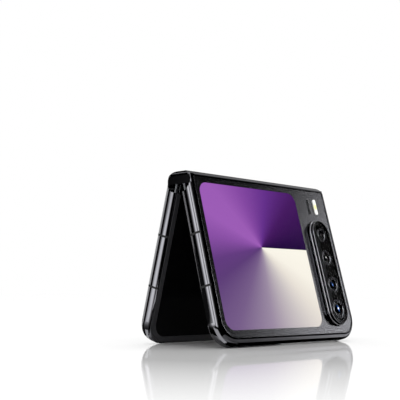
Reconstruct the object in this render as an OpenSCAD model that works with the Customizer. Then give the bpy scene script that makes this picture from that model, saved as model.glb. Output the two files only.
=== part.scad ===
// Foldable smartphone of the wide clamshell kind, standing by itself like a tent.
// Units are millimetres and +Z is up. X runs along the hinge, the half with the
// cover screen and cameras faces -Y, and the base half faces +Y.
// The origin is on the floor, under the middle of the phone's bounding box.
// Each half is drawn in its own space: its pivot is the origin, +Y points out
// through its back and -Z runs to its free edge. on_base() and on_cover() place it.

/* [Overall size] */
// Length of the phone along its hinge
body_w = 91.7; // [80:0.1:110]
// Length of one half, from its hinge edge to its free edge
half_len = 71.6; // [60:0.1:90]
// Thickness of a half's frame
frame_t = 7.05; // [6:0.05:9]
// How far the back glass stands proud of the frame
glass_proud = 0.1; // [0:0.05:0.3]
// Gap between the two frames when the phone is shut
shut_gap = 0.8; // [0.4:0.1:1.5]
// Lean of each half from upright, in degrees
lean = 15.2; // [5:0.1:40]

/* [Frame] */
// Corner radius at the free edge
corner_r = 9.5; // [4:0.1:14]
// Corner radius beside the hinge
hinge_corner_r = 1.6; // [0.5:0.1:3]
// Edge radius on the outer side
edge_out_r = 2.9; // [1:0.05:2.95]
// Edge radius on the inner side
edge_in_r = 1.2; // [0.3:0.05:2]
// Edge radius along the hinge
hinge_edge_r = 0.7; // [0.2:0.05:0.9]
// Thickness of the side walls
wall_t = 2.6; // [1.5:0.1:4]
// Thickness of the plate across the middle of each frame
mid_t = 0.6; // [0.4:0.05:1]
// Height of the bezel ring around the back glass
ring_h = 0.75; // [0.5:0.05:1.2]
// Width of the groove between frame and bezel ring
parting = 0.08; // [0.05:0.01:0.2]
// Width of an antenna break
antenna_w = 0.9; // [0.5:0.1:1.5]
// Distance of the first antenna break from the hinge edge
antenna_near = 25.2; // [15:0.1:30]
// Distance of the second antenna break from the hinge edge
antenna_far = 47.2; // [40:0.1:60]

/* [Hinge] */
// Distance of each pivot from the middle of the spine
pivot_y = 1.85; // [1.5:0.05:3]
// Height of a half's hinge edge above its pivot
edge_above = 1.75; // [1:0.05:2.5]
// Outer radius of the spine cover
spine_r = 4.5; // [4:0.1:5.5]
// Thickness of the spine cover
spine_t = 0.6; // [0.4:0.05:1]
// Radius of the spine's ends seen from the side
spine_end_r = 2.4; // [1:0.1:4]
// Clearance between the spine and the halves
spine_clear = 0.2; // [0.1:0.05:0.4]
// Radius of the hinge pins
pin_r = 0.4; // [0.3:0.05:0.6]
// Running clearance around a pin
pin_clear = 0.05; // [0.02:0.01:0.08]
// Radius of the barrels on the pins
barrel_r = 0.8; // [0.6:0.05:1]
// Thickness of the hinge arms
arm_t = 1.0; // [0.6:0.05:1.2]
// Number of teeth on each timing gear
gear_teeth = 10; // [8:1:14]
// Module of the timing gears
gear_module = 0.2; // [0.15:0.01:0.3]
// Thickness of the timing gears
gear_w = 0.8; // [0.5:0.1:1.5]

/* [Screens and glass] */
// Thickness of the back glass
glass_t = 0.6; // [0.4:0.05:1]
// Frame width left beside the back glass
glass_side = 1.95; // [1:0.05:3]
// Frame width left below the back glass
glass_end = 2.5; // [1:0.05:4]
// Frame width left above the back glass, at the hinge
glass_hinge = 1.0; // [0.8:0.05:2]
// Cover screen's corner radius
screen_r = 4.6; // [2:0.1:10]
// Distance of the cover screen from the left side of the phone
screen_left = 4.4; // [3:0.1:20]
// Distance of the cover screen from the right side of the phone
screen_right = 24.4; // [22:0.1:30]
// Distance of the cover screen from the hinge edge
screen_top = 3.6; // [2:0.1:10]
// Distance of the cover screen from the free edge
screen_low = 5.7; // [4:0.1:12]
// Thickness of the folding screen
film_t = 0.35; // [0.2:0.05:0.6]
// Frame width left beside the folding screen
film_side = 2.85; // [2.5:0.05:4]
// Height of the soft rim around the folding screen above the frame
rim_proud = 0.25; // [0.1:0.05:0.35]

/* [Cameras] */
// Width of the camera housing
bump_w = 13.0; // [9:0.1:16]
// Height of the camera housing above the back glass
bump_h = 2.3; // [1:0.1:4]
// Distance of the housing's middle line from the right side of the phone
bump_right = 13.35; // [10:0.05:20]
// Distance of the housing's upper end from the hinge edge
bump_top = 16.3; // [15:0.1:24]
// Distance of the housing's lower end from the free edge
bump_low = 5.7; // [4:0.1:10]
// Distance of the flash's middle from the hinge edge
flash_down = 9.1; // [8:0.1:10]

/* [Keys and ports] */
// Length of the volume key
volume_len = 8.6; // [6:0.1:16]
// Length of the power key
power_len = 6.2; // [4:0.1:12]
// Width of the keys
key_w = 1.9; // [1.2:0.1:3]
// How far the keys stand out
key_proud = 0.45; // [0.2:0.05:0.8]
// Distance of the volume key's middle from the hinge edge
key_down = 33.2; // [30:0.1:38]
// Width of the charging port
port_w = 8.4; // [8:0.1:9]
// Height of the charging port
port_h = 2.6; // [2:0.1:3]
// Length of the SIM tray's face
tray_face = 12.0; // [9:0.1:16]

/* [Hidden] */
$fn = 96;
e = 0.01;
far = 200;
snug = 0.05;
half_w = body_w / 2;
in_y = shut_gap / 2 - pivot_y;
out_y = in_y + frame_t;
glass_y = out_y + glass_proud;
part_y = out_y - ring_h;
hinge_z = edge_above;
free_z = edge_above - half_len;
cavity_r = spine_r + spine_clear;
lip_z = -2.0;
spine_in_r = spine_r - spine_t;
spine_low = 0.75;
cap_low = -1.2;
cap_w = 1.0;
spine_half_w = half_w - 0.25;
cap_x = spine_half_w - cap_w;
gear_x = cap_x - 0.1 - gear_w;
plate_w = 0.5;
plate_x = gear_x - 0.1 - plate_w;
pivot_z = edge_in_r - (in_y + edge_in_r) * sin(lean) - (free_z + edge_in_r) * cos(lean);
base_reach = pivot_y + (out_y - edge_out_r) * cos(lean) - (free_z + edge_out_r) * sin(lean) + edge_out_r;
// screens
film_y = in_y + 0.05;
film_half_w = half_w - film_side;
plate_y = film_y + film_t;
support_t = 0.4;
mid_y = plate_y + support_t;
beam_y = mid_y + 2.2;
beam_low = -10.5;
beam_top = -6.2;
film_top = -1.2;
film_low = free_z + 2.1;
film_r = corner_r - 2.6;
rim_out_w = half_w - edge_in_r - 0.05;
rim_low = free_z + edge_in_r + 0.05;
rim_in_w = film_half_w - 0.5;
rim_in_low = film_low + 1.3;
rim_top = -4.95;
rim_out_r = corner_r - edge_in_r - 0.05;
rim_in_r = rim_out_r - (rim_out_w - rim_in_w);
rim_y = in_y - rim_proud;
rim_floor = in_y + 0.45;
// bend of the folding screen
bend_top = 1.22;
bend_foot = [pivot_y + (plate_y - film_t / 2) * cos(lean) - film_top * sin(lean),
             (plate_y - film_t / 2) * sin(lean) + film_top * cos(lean)];
bend_rise = 1.35;
bend_wide = 1.2;
bend_steps = 14;
// glass
glass_w = half_w - glass_side;
glass_low = free_z + glass_end;
glass_top = hinge_z - glass_hinge;
glass_r = corner_r - glass_side;
glass_back = glass_y - glass_t;
// inside of a half
floor_y = mid_y + mid_t + 0.02;
in_w = half_w - wall_t;
in_low = free_z + wall_t + 0.7;
in_r = corner_r - wall_t;
room_t = glass_back - floor_y;
part_top = beam_low - 2;
ledge_w = half_w - glass_side - 1.5;
// arms
arm_low = -9.0;
module_out = half_w - 9.85;
module_in = module_out - 8;
cheek_w = 1.2;
arm_in = module_in + cheek_w + 0.2;
arm_out = arm_in + 2.5;
arm_x = (arm_in + arm_out) / 2;
arm_gap = 0.15;
screw_z = -7.2;
screw_r = 0.45;
screw_head_r = 0.9;
// timing gears
gear_pitch = gear_module * gear_teeth / 2;
idler_y = gear_pitch;
idler_z = sqrt(4 * gear_pitch * gear_pitch - (pivot_y - idler_y) * (pivot_y - idler_y));
mesh_a = atan2(idler_z, idler_y - pivot_y);
half_tooth = 180 / gear_teeth;
// cameras
selfie_z = free_z + 7.2;
selfie_r = 1.6;
bump_x = half_w - bump_right;
bump_len = half_len - bump_top - bump_low;
bump_z = hinge_z - bump_top - bump_len / 2;
bump_r = bump_w / 2;
lens_first = bump_z + 0.3528 * bump_len;
lens_last = bump_z - 0.3528 * bump_len;
lens_z = [lens_first, lens_first - 0.2218 * bump_len, lens_last + 0.2258 * bump_len, lens_last];
bump_wall = 1.45;
bump_lip = 0.5;
bump_shelf = 0.5;
bump_round = 0.45;
plinth_h = 1.0;
plinth_step = 0.55;
bump_glass_t = 0.6;
bump_y = glass_y + bump_h;
trim_y = bump_y - 1.5;
trim_in = bump_wall + bump_shelf + 0.03;
lens_web = 0.12;
lens_r = bump_r - trim_in - lens_web;
lens_rr = [0.72 * lens_r, 0.8 * lens_r, 0.86 * lens_r, lens_r];
flash_x = half_w - 10.3;
flash_z = hinge_z - flash_down;
flash_len = 7.5;
flash_w = 1.8;
flash_pad = 1.3;
flash_t = 0.6;
mic_x = flash_x - 4.6;
bump_end_y = pivot_y - (bump_z - bump_len / 2 + bump_r) * sin(lean);
plinth_reach = bump_end_y + (glass_y + plinth_h - bump_round) * cos(lean)
               + (bump_r - bump_round) * sin(lean) + bump_round;
top_reach = bump_end_y + (bump_y - bump_round) * cos(lean)
            + (bump_r - plinth_step - bump_round) * sin(lean) + bump_round;
cover_reach = max(plinth_reach, top_reach);
front_reach = max(cover_reach, base_reach);
shift_y = (front_reach - base_reach) / 2;
shift_x = -key_proud / 2;
// batteries, boards and coil
base_cell_side = 4.25;
base_cell_far = 12.25;
base_board_side = 10.25;
base_board_low = 6.05;
base_board_band = 17.55;
board_gap = 1.5;
base_cell_x0 = base_cell_side - in_w;
base_cell_x1 = in_w - base_cell_far;
base_cell_low = in_low + base_board_band;
base_board_x = in_w - base_board_side;
cover_cell_side = 1.25;
cover_cell_far = 19.5;
cover_cell_gap = 2;
main_board_side = 3.25;
main_board_far = 8.5;
main_board_low = 4.05;
main_board_band = 18.55;
main_board_top = in_low + main_board_band;
board_t = 0.8;
speaker_t = room_t - 1.23;
speaker_left = 7;
speaker_right = 8;
speaker_deep = 5.6;
horn_w = 3.6;
horn_len = 11;
earpiece_side = 7.25;
earpiece_w = 12;
earpiece_deep = 3.3;
earpiece_t = 3;
motor_r = 4.4;
motor_t = 3;
motor_side = 0.85;
motor_up = 12.55;
coil_x = (base_cell_x0 + base_cell_x1) / 2;
coil_z = (part_top + base_cell_low) / 2;
coil_t = 0.3;
coil_turns = 6;
coil_in_r = 10.2;
coil_wire = 0.8;
coil_step = 1.1;
// keys
key_x = half_w + key_proud;
key_y = in_y + 2.7;
volume_z = hinge_z - key_down;
key_gap = 1.4;
power_z = volume_z - volume_len / 2 - key_gap - power_len / 2;
key_flange = 0.5;
key_travel = 0.25;
// cover screen
screen_x = -half_w + screen_left;
screen_w = body_w - screen_left - screen_right;
screen_h = half_len - screen_top - screen_low;
screen_t = 0.4;
ink_t = 0.06;
screen_edge = 0.3;
ink_y = glass_back - 0.01 - ink_t;
display_y = ink_y - 0.01;
// ports
port_y = (in_y + part_y) / 2 + 0.1;
tray_x = 19.85 - half_w;
tray_t = 1.5;
tray_deep = 11.5;
pinhole_x = tray_x + tray_face / 2 + 1.4;
speaker_x = half_w - 21.85;
hole_step = 1.9;
hole_r = 0.5;
antenna_zs = [hinge_z - antenna_near, hinge_z - antenna_far];
slit_x = half_w - 9.85;
mic_port_x = -9;
mic_port_r = 0.4;

// Placing

module on_base() {
  translate([shift_x, shift_y + pivot_y, pivot_z])
    rotate([lean, 0, 0])
      children();
}

module on_cover() {
  translate([shift_x, shift_y - pivot_y, pivot_z])
    rotate([-lean, 0, 0])
      mirror([0, 1, 0])
        children();
}

module on_spine() {
  translate([shift_x, shift_y, pivot_z])
    children();
}

module both_ends() {
  children();
  mirror([1, 0, 0])
    children();
}

module both_pivots() {
  for (s = [-1, 1])
    translate([0, s * pivot_y, 0])
      children();
}

// Shapes shared by several pieces

// Outline in X and Z, with one radius for the free end and one for the hinge end
module outline(w, top, low, r_top, r_low) {
  translate([-w, low + r_low])
    square([2 * w, top - r_top - low - r_low]);
  translate([-w + r_low, low])
    square([2 * (w - r_low), r_low + e]);
  translate([-w + r_top, top - r_top - e])
    square([2 * (w - r_top), r_top + e]);
  for (s = [-1, 1]) {
    translate([s * (w - r_low), low + r_low])
      circle(r = r_low);
    translate([s * (w - r_top), top - r_top])
      circle(r = r_top);
  }
}

// A flat piece between two depths, from an outline in X and Z
module slab(y0, y1) {
  translate([0, y1, 0])
    rotate([90, 0, 0])
      linear_extrude(y1 - y0)
        children();
}

// A straight piece along X, from an outline in Y and Z
module along_x(x0, x1) {
  translate([x0, 0, 0])
    rotate([90, 0, 90])
      linear_extrude(x1 - x0)
        children();
}

module rod(x0, x1, r) {
  translate([x0, 0, 0])
    rotate([0, 90, 0])
      cylinder(r = r, h = x1 - x0);
}

module box(x0, x1, y0, y1, z0, z1) {
  translate([x0, y0, z0])
    cube([x1 - x0, y1 - y0, z1 - z0]);
}

module disc(x, z, y0, y1, r) {
  translate([x, y1, z])
    rotate([90, 0, 0])
      cylinder(r = r, h = y1 - y0);
}

// A pill with its length along Z
module pill(w, len) {
  translate([-w / 2, -len / 2 + w / 2])
    square([w, len - w]);
  for (s = [-1, 1])
    translate([0, s * (len / 2 - w / 2)])
      circle(d = w);
}

// Section of the frame's rounded edge: X is the distance outwards, Y the depth
module edge_section(reach) {
  translate([0, in_y + edge_in_r])
    square([reach, frame_t - edge_in_r - edge_out_r]);
  translate([0, in_y])
    square([reach - edge_in_r, edge_in_r + e]);
  translate([0, out_y - edge_out_r - e])
    square([reach - edge_out_r, edge_out_r + e]);
  translate([reach - edge_in_r, in_y + edge_in_r])
    circle(r = edge_in_r);
  translate([reach - edge_out_r, out_y - edge_out_r])
    circle(r = edge_out_r);
}

// A whole half as one rounded block
module half_block() {
  core_w = half_w - corner_r;
  core_low = free_z + corner_r;
  intersection() {
    union() {
      box(-core_w, core_w, in_y, out_y, core_low, hinge_z);
      both_ends() {
        translate([core_w, 0, core_low])
          linear_extrude(hinge_z - core_low)
            edge_section(corner_r);
        translate([core_w, 0, core_low])
          rotate([-90, 0, 0])
            rotate_extrude(angle = 90)
              intersection() {
                edge_section(corner_r);
                translate([0, -far / 2])
                  square([far, far]);
              }
      }
      translate([-core_w, 0, core_low])
        rotate([0, 90, 0])
          linear_extrude(2 * core_w)
            edge_section(corner_r);
    }
    slab(in_y - 1, out_y + 1)
      outline(half_w + 1, hinge_z, free_z - 20, hinge_corner_r, 1);
    along_x(-half_w - 1, half_w + 1) {
      translate([in_y - 1, free_z - 20])
        square([frame_t + 1 - hinge_edge_r, hinge_z - free_z + 20]);
      translate([in_y - 1, free_z - 20])
        square([frame_t + 2, hinge_z - free_z + 20 - hinge_edge_r]);
      translate([out_y - hinge_edge_r, hinge_z - hinge_edge_r])
        circle(r = hinge_edge_r);
    }
  }
}

// Room that the spine turns in
module hinge_room() {
  rod(-half_w - 1, half_w + 1, cavity_r);
  box(-half_w - 1, half_w + 1, in_y - 1, cavity_r, 0, hinge_z + 1);
}

module antenna_cuts(right_count) {
  for (i = [0, 1])
    box(-half_w - 1, -in_w + e, in_y - 1, out_y + 1,
        antenna_zs[i] - antenna_w / 2, antenna_zs[i] + antenna_w / 2);
  for (i = [0 : right_count - 1])
    box(in_w - e, half_w + 1, in_y - 1, out_y + 1,
        antenna_zs[i] - antenna_w / 2, antenna_zs[i] + antenna_w / 2);
  for (s = [-1, 1])
    box(s * slit_x - antenna_w / 2, s * slit_x + antenna_w / 2, in_y - 1, out_y + 1,
        free_z - 1, in_low + e);
}

module screen_recess() {
  slab(in_y - 1, mid_y)
    outline(film_half_w + 0.1, 3, film_low - 0.1, 1, film_r + 0.1);
  slab(in_y - 1, rim_floor)
    outline(rim_out_w + snug, 3, rim_low - snug, 1, rim_out_r + snug);
}

module arm_pockets() {
  both_ends() {
    box(arm_in - arm_gap, arm_out + arm_gap, mid_y - e, arm_t / 2 + snug, arm_low - arm_gap, -3);
    box(gear_x - arm_gap, gear_x + gear_w + arm_gap, rim_floor - e, arm_t / 2 + snug,
        arm_low - arm_gap, -3);
    disc(arm_x, screw_z, 0, 1.35, screw_r);
  }
}

module frame_shell(right_count) {
  difference() {
    half_block();
    box(-half_w - 1, half_w + 1, part_y - parting, out_y + 1, free_z - 1, hinge_z + 1);
    box(-half_w - 1, half_w + 1, in_y - 1, out_y + 1, lip_z - parting, hinge_z + 1);
    rod(-half_w - 1, half_w + 1, cavity_r);
    slab(mid_y + mid_t, part_y + 1)
      outline(in_w, beam_low, in_low, 1.5, in_r);
    box(-in_w, in_w, beam_y, part_y + 1, beam_low - 2, beam_top);
    screen_recess();
    arm_pockets();
    antenna_cuts(right_count);
  }
}

module bezel_ring(seat_y) {
  difference() {
    intersection() {
      half_block();
      union() {
        box(-half_w - 1, half_w + 1, part_y, out_y + 1, free_z - 1, hinge_z + 1);
        box(-half_w - 1, half_w + 1, in_y - 1, out_y + 1, lip_z, hinge_z + 1);
      }
    }
    hinge_room();
    slab(seat_y, out_y + 1)
      outline(glass_w + snug, glass_top + snug, glass_low - snug, 1.2, glass_r + snug);
    slab(part_y - 1, seat_y + e)
      outline(ledge_w, lip_z - 1.2, glass_low + 1.5, 1, glass_r - 1.5);
  }
}

module antenna_fill(right_count) {
  intersection() {
    half_block();
    antenna_cuts(right_count);
    difference() {
      box(-half_w, half_w, in_y - 1, part_y - parting - e, free_z, 0);
      slab(in_y - 2, part_y + 1)
        outline(in_w + 0.4, 0, in_low - 0.4, 1, in_r + 0.4);
      screen_recess();
    }
  }
}

module screen_plate(hole) {
  difference() {
    slab(plate_y, mid_y - 0.02)
      outline(film_half_w, film_top, film_low, 0.4, film_r);
    if (hole)
      disc(0, selfie_z, plate_y - 1, mid_y + 1, selfie_r + 0.3);
  }
}

module screen_film(hole) {
  difference() {
    slab(film_y, plate_y - 0.02)
      outline(film_half_w, film_top, film_low, 0.1, film_r);
    if (hole)
      disc(0, selfie_z, film_y - 1, mid_y + 1, selfie_r);
  }
}

module inner_rim() {
  difference() {
    union() {
      slab(rim_y, film_y - 0.02)
        difference() {
          outline(rim_out_w, rim_top, rim_low, 0.3, rim_out_r);
          outline(rim_in_w, rim_top + 5, rim_in_low, 0.3, rim_in_r);
        }
      slab(film_y - 0.02 - e, rim_floor - 0.02)
        difference() {
          outline(rim_out_w, rim_top, rim_low, 0.3, rim_out_r);
          outline(film_half_w + snug, rim_top + 5, film_low - snug, 0.3, film_r + snug);
        }
    }
  }
}

// One timing gear, as an outline in Y and Z with a tooth at angle a
module gear_outline(a) {
  pitch = gear_module * gear_teeth / 2;
  root = pitch - 1.25 * gear_module;
  tip = pitch + 0.85 * gear_module;
  step = 360 / gear_teeth;
  circle(r = root + e);
  for (i = [0 : gear_teeth - 1])
    rotate(a + i * step)
      polygon([[0.5 * root, -root * sin(10)], [root * cos(10), -root * sin(10)],
               [pitch * cos(6.6), -pitch * sin(6.6)], [tip * cos(2.6), -tip * sin(2.6)],
               [tip * cos(2.6), tip * sin(2.6)], [pitch * cos(6.6), pitch * sin(6.6)],
               [root * cos(10), root * sin(10)], [0.5 * root, root * sin(10)]]);
}

// The two hinge arms of one half. The gear's angle is counted in the spine's space
module sync_arms(gear_a) {
  both_ends()
    difference() {
      union() {
        along_x(gear_x, gear_x + gear_w)
          gear_outline(gear_a);
        box(gear_x, gear_x + gear_w, -arm_t / 2, arm_t / 2, arm_low, -gear_pitch * 0.7);
      }
      rod(gear_x - 1, gear_x + gear_w + 1, pin_r + pin_clear);
    }
}

module torque_arms() {
  both_ends()
    difference() {
      union() {
        rod(arm_in, arm_out, barrel_r);
        box(arm_in, arm_out, -arm_t / 2, arm_t / 2, arm_low, 0);
      }
      rod(arm_in - 1, arm_out + 1, pin_r + pin_clear);
      disc(arm_x, screw_z, -2, 2, screw_r + 0.05);
      disc(arm_x, screw_z, -2, -arm_t / 2 + 0.45, screw_head_r + 0.05);
    }
}

module arm_screws() {
  both_ends()
    difference() {
      union() {
        disc(arm_x, screw_z, -arm_t / 2, -arm_t / 2 + 0.43, screw_head_r);
        disc(arm_x, screw_z, -arm_t / 2 + 0.2, 1.3, screw_r - 0.01);
      }
      box(arm_x - 0.6, arm_x + 0.6,
          -arm_t / 2 - 1, -arm_t / 2 + 0.2, screw_z - 0.12, screw_z + 0.12);
      box(arm_x - 0.12, arm_x + 0.12,
          -arm_t / 2 - 1, -arm_t / 2 + 0.2, screw_z - 0.6, screw_z + 0.6);
    }
}

// Spine

module spine_outline(r) {
  for (s = [-1, 1])
    translate([s * pivot_y, 0])
      circle(r = r);
  translate([-pivot_y, -r])
    square([2 * pivot_y, 2 * r]);
}

module spine_ends() {
  slab(-far / 2, far / 2)
    outline(spine_half_w, spine_r, -far / 4, spine_end_r, 1);
}

module spine_cover() {
  color("dimgray")
  on_spine()
    intersection() {
      along_x(-cap_x + 0.02, cap_x - 0.02)
        difference() {
          spine_outline(spine_r);
          spine_outline(spine_in_r);
          translate([-far / 2, spine_low - far])
            square([far, far]);
        }
      spine_ends();
    }
}

module spine_end_caps() {
  color("black")
  on_spine()
    both_ends()
      difference() {
        intersection() {
          along_x(cap_x, spine_half_w)
            difference() {
              spine_outline(spine_r);
              translate([-far / 2, cap_low - far])
                square([far, far]);
            }
          spine_ends();
        }
        both_pivots()
          rod(cap_x - 1, cap_x + 0.7, pin_r + 0.01);
        for (s = [-1, 1])
          translate([0, s * idler_y, idler_z])
            rod(cap_x - 1, cap_x + 0.7, pin_r + pin_clear);
      }
}

module loop_room() {
  translate([-1.12, -3])
    square([2.24, 4.85]);
}

module hinge_brackets() {
  color("silver")
  on_spine()
    both_ends()
      difference() {
        union() {
          for (x = [module_in, module_out - cheek_w])
            along_x(x, x + cheek_w)
              difference() {
                union() {
                  difference() {
                    spine_outline(spine_in_r - snug);
                    translate([-far / 2, spine_low - far])
                      square([far, far]);
                  }
                  for (s = [-1, 1]) {
                    translate([s * pivot_y, 0])
                      circle(r = barrel_r);
                    translate([s * pivot_y - barrel_r / 2, 0])
                      square([barrel_r, 1]);
                  }
                }
                loop_room();
              }
          along_x(module_in, module_out)
            intersection() {
              spine_outline(spine_in_r - snug);
              translate([-far / 2, 2.6])
                square([far, far]);
            }
        }
        both_pivots()
          rod(module_in - 1, module_out + 1, pin_r + 0.01);
      }
}

module hinge_shafts() {
  color("silver")
  on_spine()
    both_ends()
      both_pivots()
        union() {
          rod(module_in, module_out + 0.6, pin_r);
          rod(module_out + 0.02, module_out + 0.6, pin_r + 0.25);
        }
}

module friction_washers() {
  color("gray")
  on_spine()
    both_ends()
      both_pivots()
        for (i = [0 : 4])
          difference() {
            rod(arm_out + 0.15 + i * 0.55, arm_out + 0.45 + i * 0.55, barrel_r - 0.08);
            rod(arm_out, arm_out + 4, pin_r + 0.01);
          }
}

module gear_plates() {
  color("silver")
  on_spine()
    both_ends()
      difference() {
        along_x(plate_x, plate_x + plate_w) {
          difference() {
            spine_outline(spine_in_r - snug);
            translate([-far / 2, spine_low - far])
              square([far, far]);
          }
          translate([-pivot_y, -barrel_r])
            square([2 * pivot_y, barrel_r + 1]);
          for (s = [-1, 1])
            translate([s * pivot_y, 0])
              circle(r = barrel_r);
        }
        both_pivots()
          rod(plate_x - 1, plate_x + 1, pin_r + 0.01);
        for (s = [-1, 1])
          translate([0, s * idler_y, idler_z])
            rod(plate_x - 1, plate_x + 1, pin_r + pin_clear);
      }
}

module sync_pins() {
  color("silver")
  on_spine()
    both_ends()
      both_pivots()
        rod(plate_x, cap_x + 0.65, pin_r);
}

module idler(a) {
  both_ends()
    union() {
      along_x(gear_x, gear_x + gear_w)
        gear_outline(a);
      rod(plate_x + 0.05, cap_x + 0.6, pin_r);
    }
}

module idler_gears_base() {
  color("goldenrod")
  on_spine()
    translate([0, idler_y, idler_z])
      idler(mesh_a + 180 + half_tooth);
}

module idler_gears_cover() {
  color("goldenrod")
  on_spine()
    translate([0, -idler_y, idler_z])
      idler(-mesh_a);
}

// Middle of the folding screen, bent over inside the hinge

function bend_ctrl() = [bend_foot,
  [bend_foot[0] - bend_rise * sin(lean), bend_foot[1] + bend_rise * cos(lean)],
  [bend_wide, bend_top], [0, bend_top]];
function bez(c, t) = pow(1 - t, 3) * c[0] + 3 * pow(1 - t, 2) * t * c[1]
  + 3 * (1 - t) * t * t * c[2] + t * t * t * c[3];
function bez_dir(c, t) = 3 * pow(1 - t, 2) * (c[1] - c[0])
  + 6 * (1 - t) * t * (c[2] - c[1]) + 3 * t * t * (c[3] - c[2]);
function bend_point(c, t, o) = let (p = bez(c, t), d = bez_dir(c, t), n = norm(d))
  [p[0] + o * d[1] / n, p[1] - o * d[0] / n];
function bend_side(o) = [for (i = [0 : bend_steps]) bend_point(bend_ctrl(), i / bend_steps, o)];
function flip(ps) = [for (i = [len(ps) - 2 : -1 : 0]) [-ps[i][0], ps[i][1]]];
function back(ps) = [for (i = [len(ps) - 1 : -1 : 0]) ps[i]];

module folding_screen_bend() {
  color("black")
  on_spine() {
    outer = bend_side(film_t / 2 - 0.02);
    inner = bend_side(-film_t / 2 + 0.02);
    along_x(-film_half_w, film_half_w)
      polygon(concat(outer, flip(outer), back(concat(inner, flip(inner)))));
  }
}

// Base half

module base_frame() {
  color("dimgray")
  on_base()
    difference() {
      frame_shell(1);
      slab(port_y - port_h / 2, port_y + port_h / 2)
        translate([0, free_z + 3])
          square([port_w, 20], center = true);
      box(tray_x - tray_face / 2 - snug, tray_x + tray_face / 2 + snug,
          port_y - tray_t / 2 - snug, port_y + tray_t / 2 + snug, free_z - 1, in_low + 1);
      for (i = [0 : 5])
        translate([speaker_x + (i - 2.5) * hole_step, port_y, free_z - 1])
          cylinder(r = hole_r, h = 6);
      translate([pinhole_x, port_y, free_z - 1])
        cylinder(r = hole_r, h = 6);
      translate([mic_port_x, port_y, free_z - 1])
        cylinder(r = mic_port_r, h = 6);
    }
}

module base_bezel_ring() {
  color("black")
  on_base()
    bezel_ring(glass_back);
}

module base_back_glass() {
  color("darkslategray")
  on_base()
    slab(glass_back, glass_y)
      outline(glass_w, glass_top, glass_low, 1.15, glass_r);
}

module base_antenna_breaks() {
  color("gray")
  on_base()
    antenna_fill(1);
}

module base_sync_arms() {
  color("silver")
  on_base()
    sync_arms(mesh_a - lean);
}

module base_torque_arms() {
  color("silver")
  on_base()
    torque_arms();
}

module base_arm_screws() {
  color("gray")
  on_base()
    arm_screws();
}

module base_screen_plate() {
  color("silver")
  on_base()
    screen_plate(false);
}

module base_folding_screen() {
  color("black")
  on_base()
    screen_film(false);
}

module base_inner_rim() {
  color("dimgray")
  on_base()
    inner_rim();
}

// A flat cell with its folded terminal edge along the top
module battery(x0, x1, low, t) {
  translate([(x0 + x1) / 2, 0, 0]) {
    slab(floor_y, floor_y + t)
      outline((x1 - x0) / 2, part_top, low, 1.2, 1.2);
    slab(floor_y + 0.6, floor_y + t - 0.6)
      translate([(x0 - x1) / 2 + 2, part_top - 0.1])
        square([x1 - x0 - 4, 1.2]);
  }
}

module base_battery() {
  color("dimgray")
  on_base()
    battery(base_cell_x0, base_cell_x1, base_cell_low, room_t - 0.93);
}

// Circuit board with its shielded parts. A can's place and size are shares of the board
module board(x0, x1, z0, z1, cans) {
  w = x1 - x0;
  len = z1 - z0;
  box(x0, x1, floor_y, floor_y + board_t, z0, z1);
  for (c = cans)
    box(x0 + c[0] * w, x0 + (c[0] + c[2]) * w, floor_y + board_t - e, floor_y + board_t + c[4],
        z0 + c[1] * len, z0 + (c[1] + c[3]) * len);
}

module base_board() {
  color("darkgreen")
  on_base()
    board(-base_board_x, base_board_x, in_low + base_board_low, base_cell_low - board_gap,
          [[0.03, 0.26, 0.18, 0.6, 1.4], [0.26, 0.1, 0.12, 0.6, 1.0],
           [0.42, 0.25, 0.15, 0.6, 1.7], [0.62, 0.1, 0.08, 0.4, 0.8],
           [0.62, 0.6, 0.08, 0.3, 1.1]]);
}

module usb_port() {
  color("silver")
  on_base()
    union() {
      difference() {
        box(-port_w / 2 + 0.05, port_w / 2 - 0.05, port_y - port_h / 2 + 0.05,
            port_y + port_h / 2 - 0.05, free_z + 0.45, free_z + 8.2);
        box(-port_w / 2 + 0.35, port_w / 2 - 0.35, port_y - port_h / 2 + 0.3,
            port_y + port_h / 2 - 0.3, free_z - 1, free_z + 7.2);
      }
      box(-3, 3, port_y - 0.35, port_y + 0.35, free_z + 1.6, free_z + 7.4);
    }
}

module loudspeaker() {
  color("black")
  on_base()
    union() {
      box(speaker_x - speaker_left, speaker_x + speaker_right, floor_y, floor_y + speaker_t,
          in_low + 0.1, in_low + speaker_deep);
      slab(floor_y + speaker_t - 0.1, floor_y + speaker_t + 0.3)
        translate([speaker_x + (speaker_right - speaker_left) / 2, in_low + speaker_deep / 2])
          rotate(90)
            pill(horn_w, horn_len);
    }
}

module vibration_motor() {
  color("silver")
  on_base()
    disc(in_w - motor_r - motor_side, in_low + motor_up, floor_y, floor_y + motor_t, motor_r);
}

module charging_coil() {
  color("chocolate")
  on_base()
    for (i = [0 : coil_turns - 1])
      difference() {
        disc(coil_x, coil_z, glass_back - coil_t - 0.12, glass_back - 0.12,
             coil_in_r + coil_wire + i * coil_step);
        disc(coil_x, coil_z, glass_back - 1, glass_back + 1, coil_in_r + i * coil_step);
      }
}

module sim_tray() {
  color("dimgray")
  on_base()
    union() {
      box(tray_x - tray_face / 2, tray_x + tray_face / 2, port_y - tray_t / 2,
          port_y + tray_t / 2, free_z + 0.02, free_z + 1.5);
      difference() {
        box(tray_x - tray_face / 2 + 0.6, tray_x + tray_face / 2 - 0.6, port_y - 0.6,
            port_y + 0.6, free_z + 1.4, free_z + tray_deep);
        box(tray_x - 4.5, tray_x + 4.5, port_y - 1, port_y + 0.3,
            free_z + 2.6, free_z + tray_deep - 0.8);
      }
    }
}

// Cover half

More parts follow.
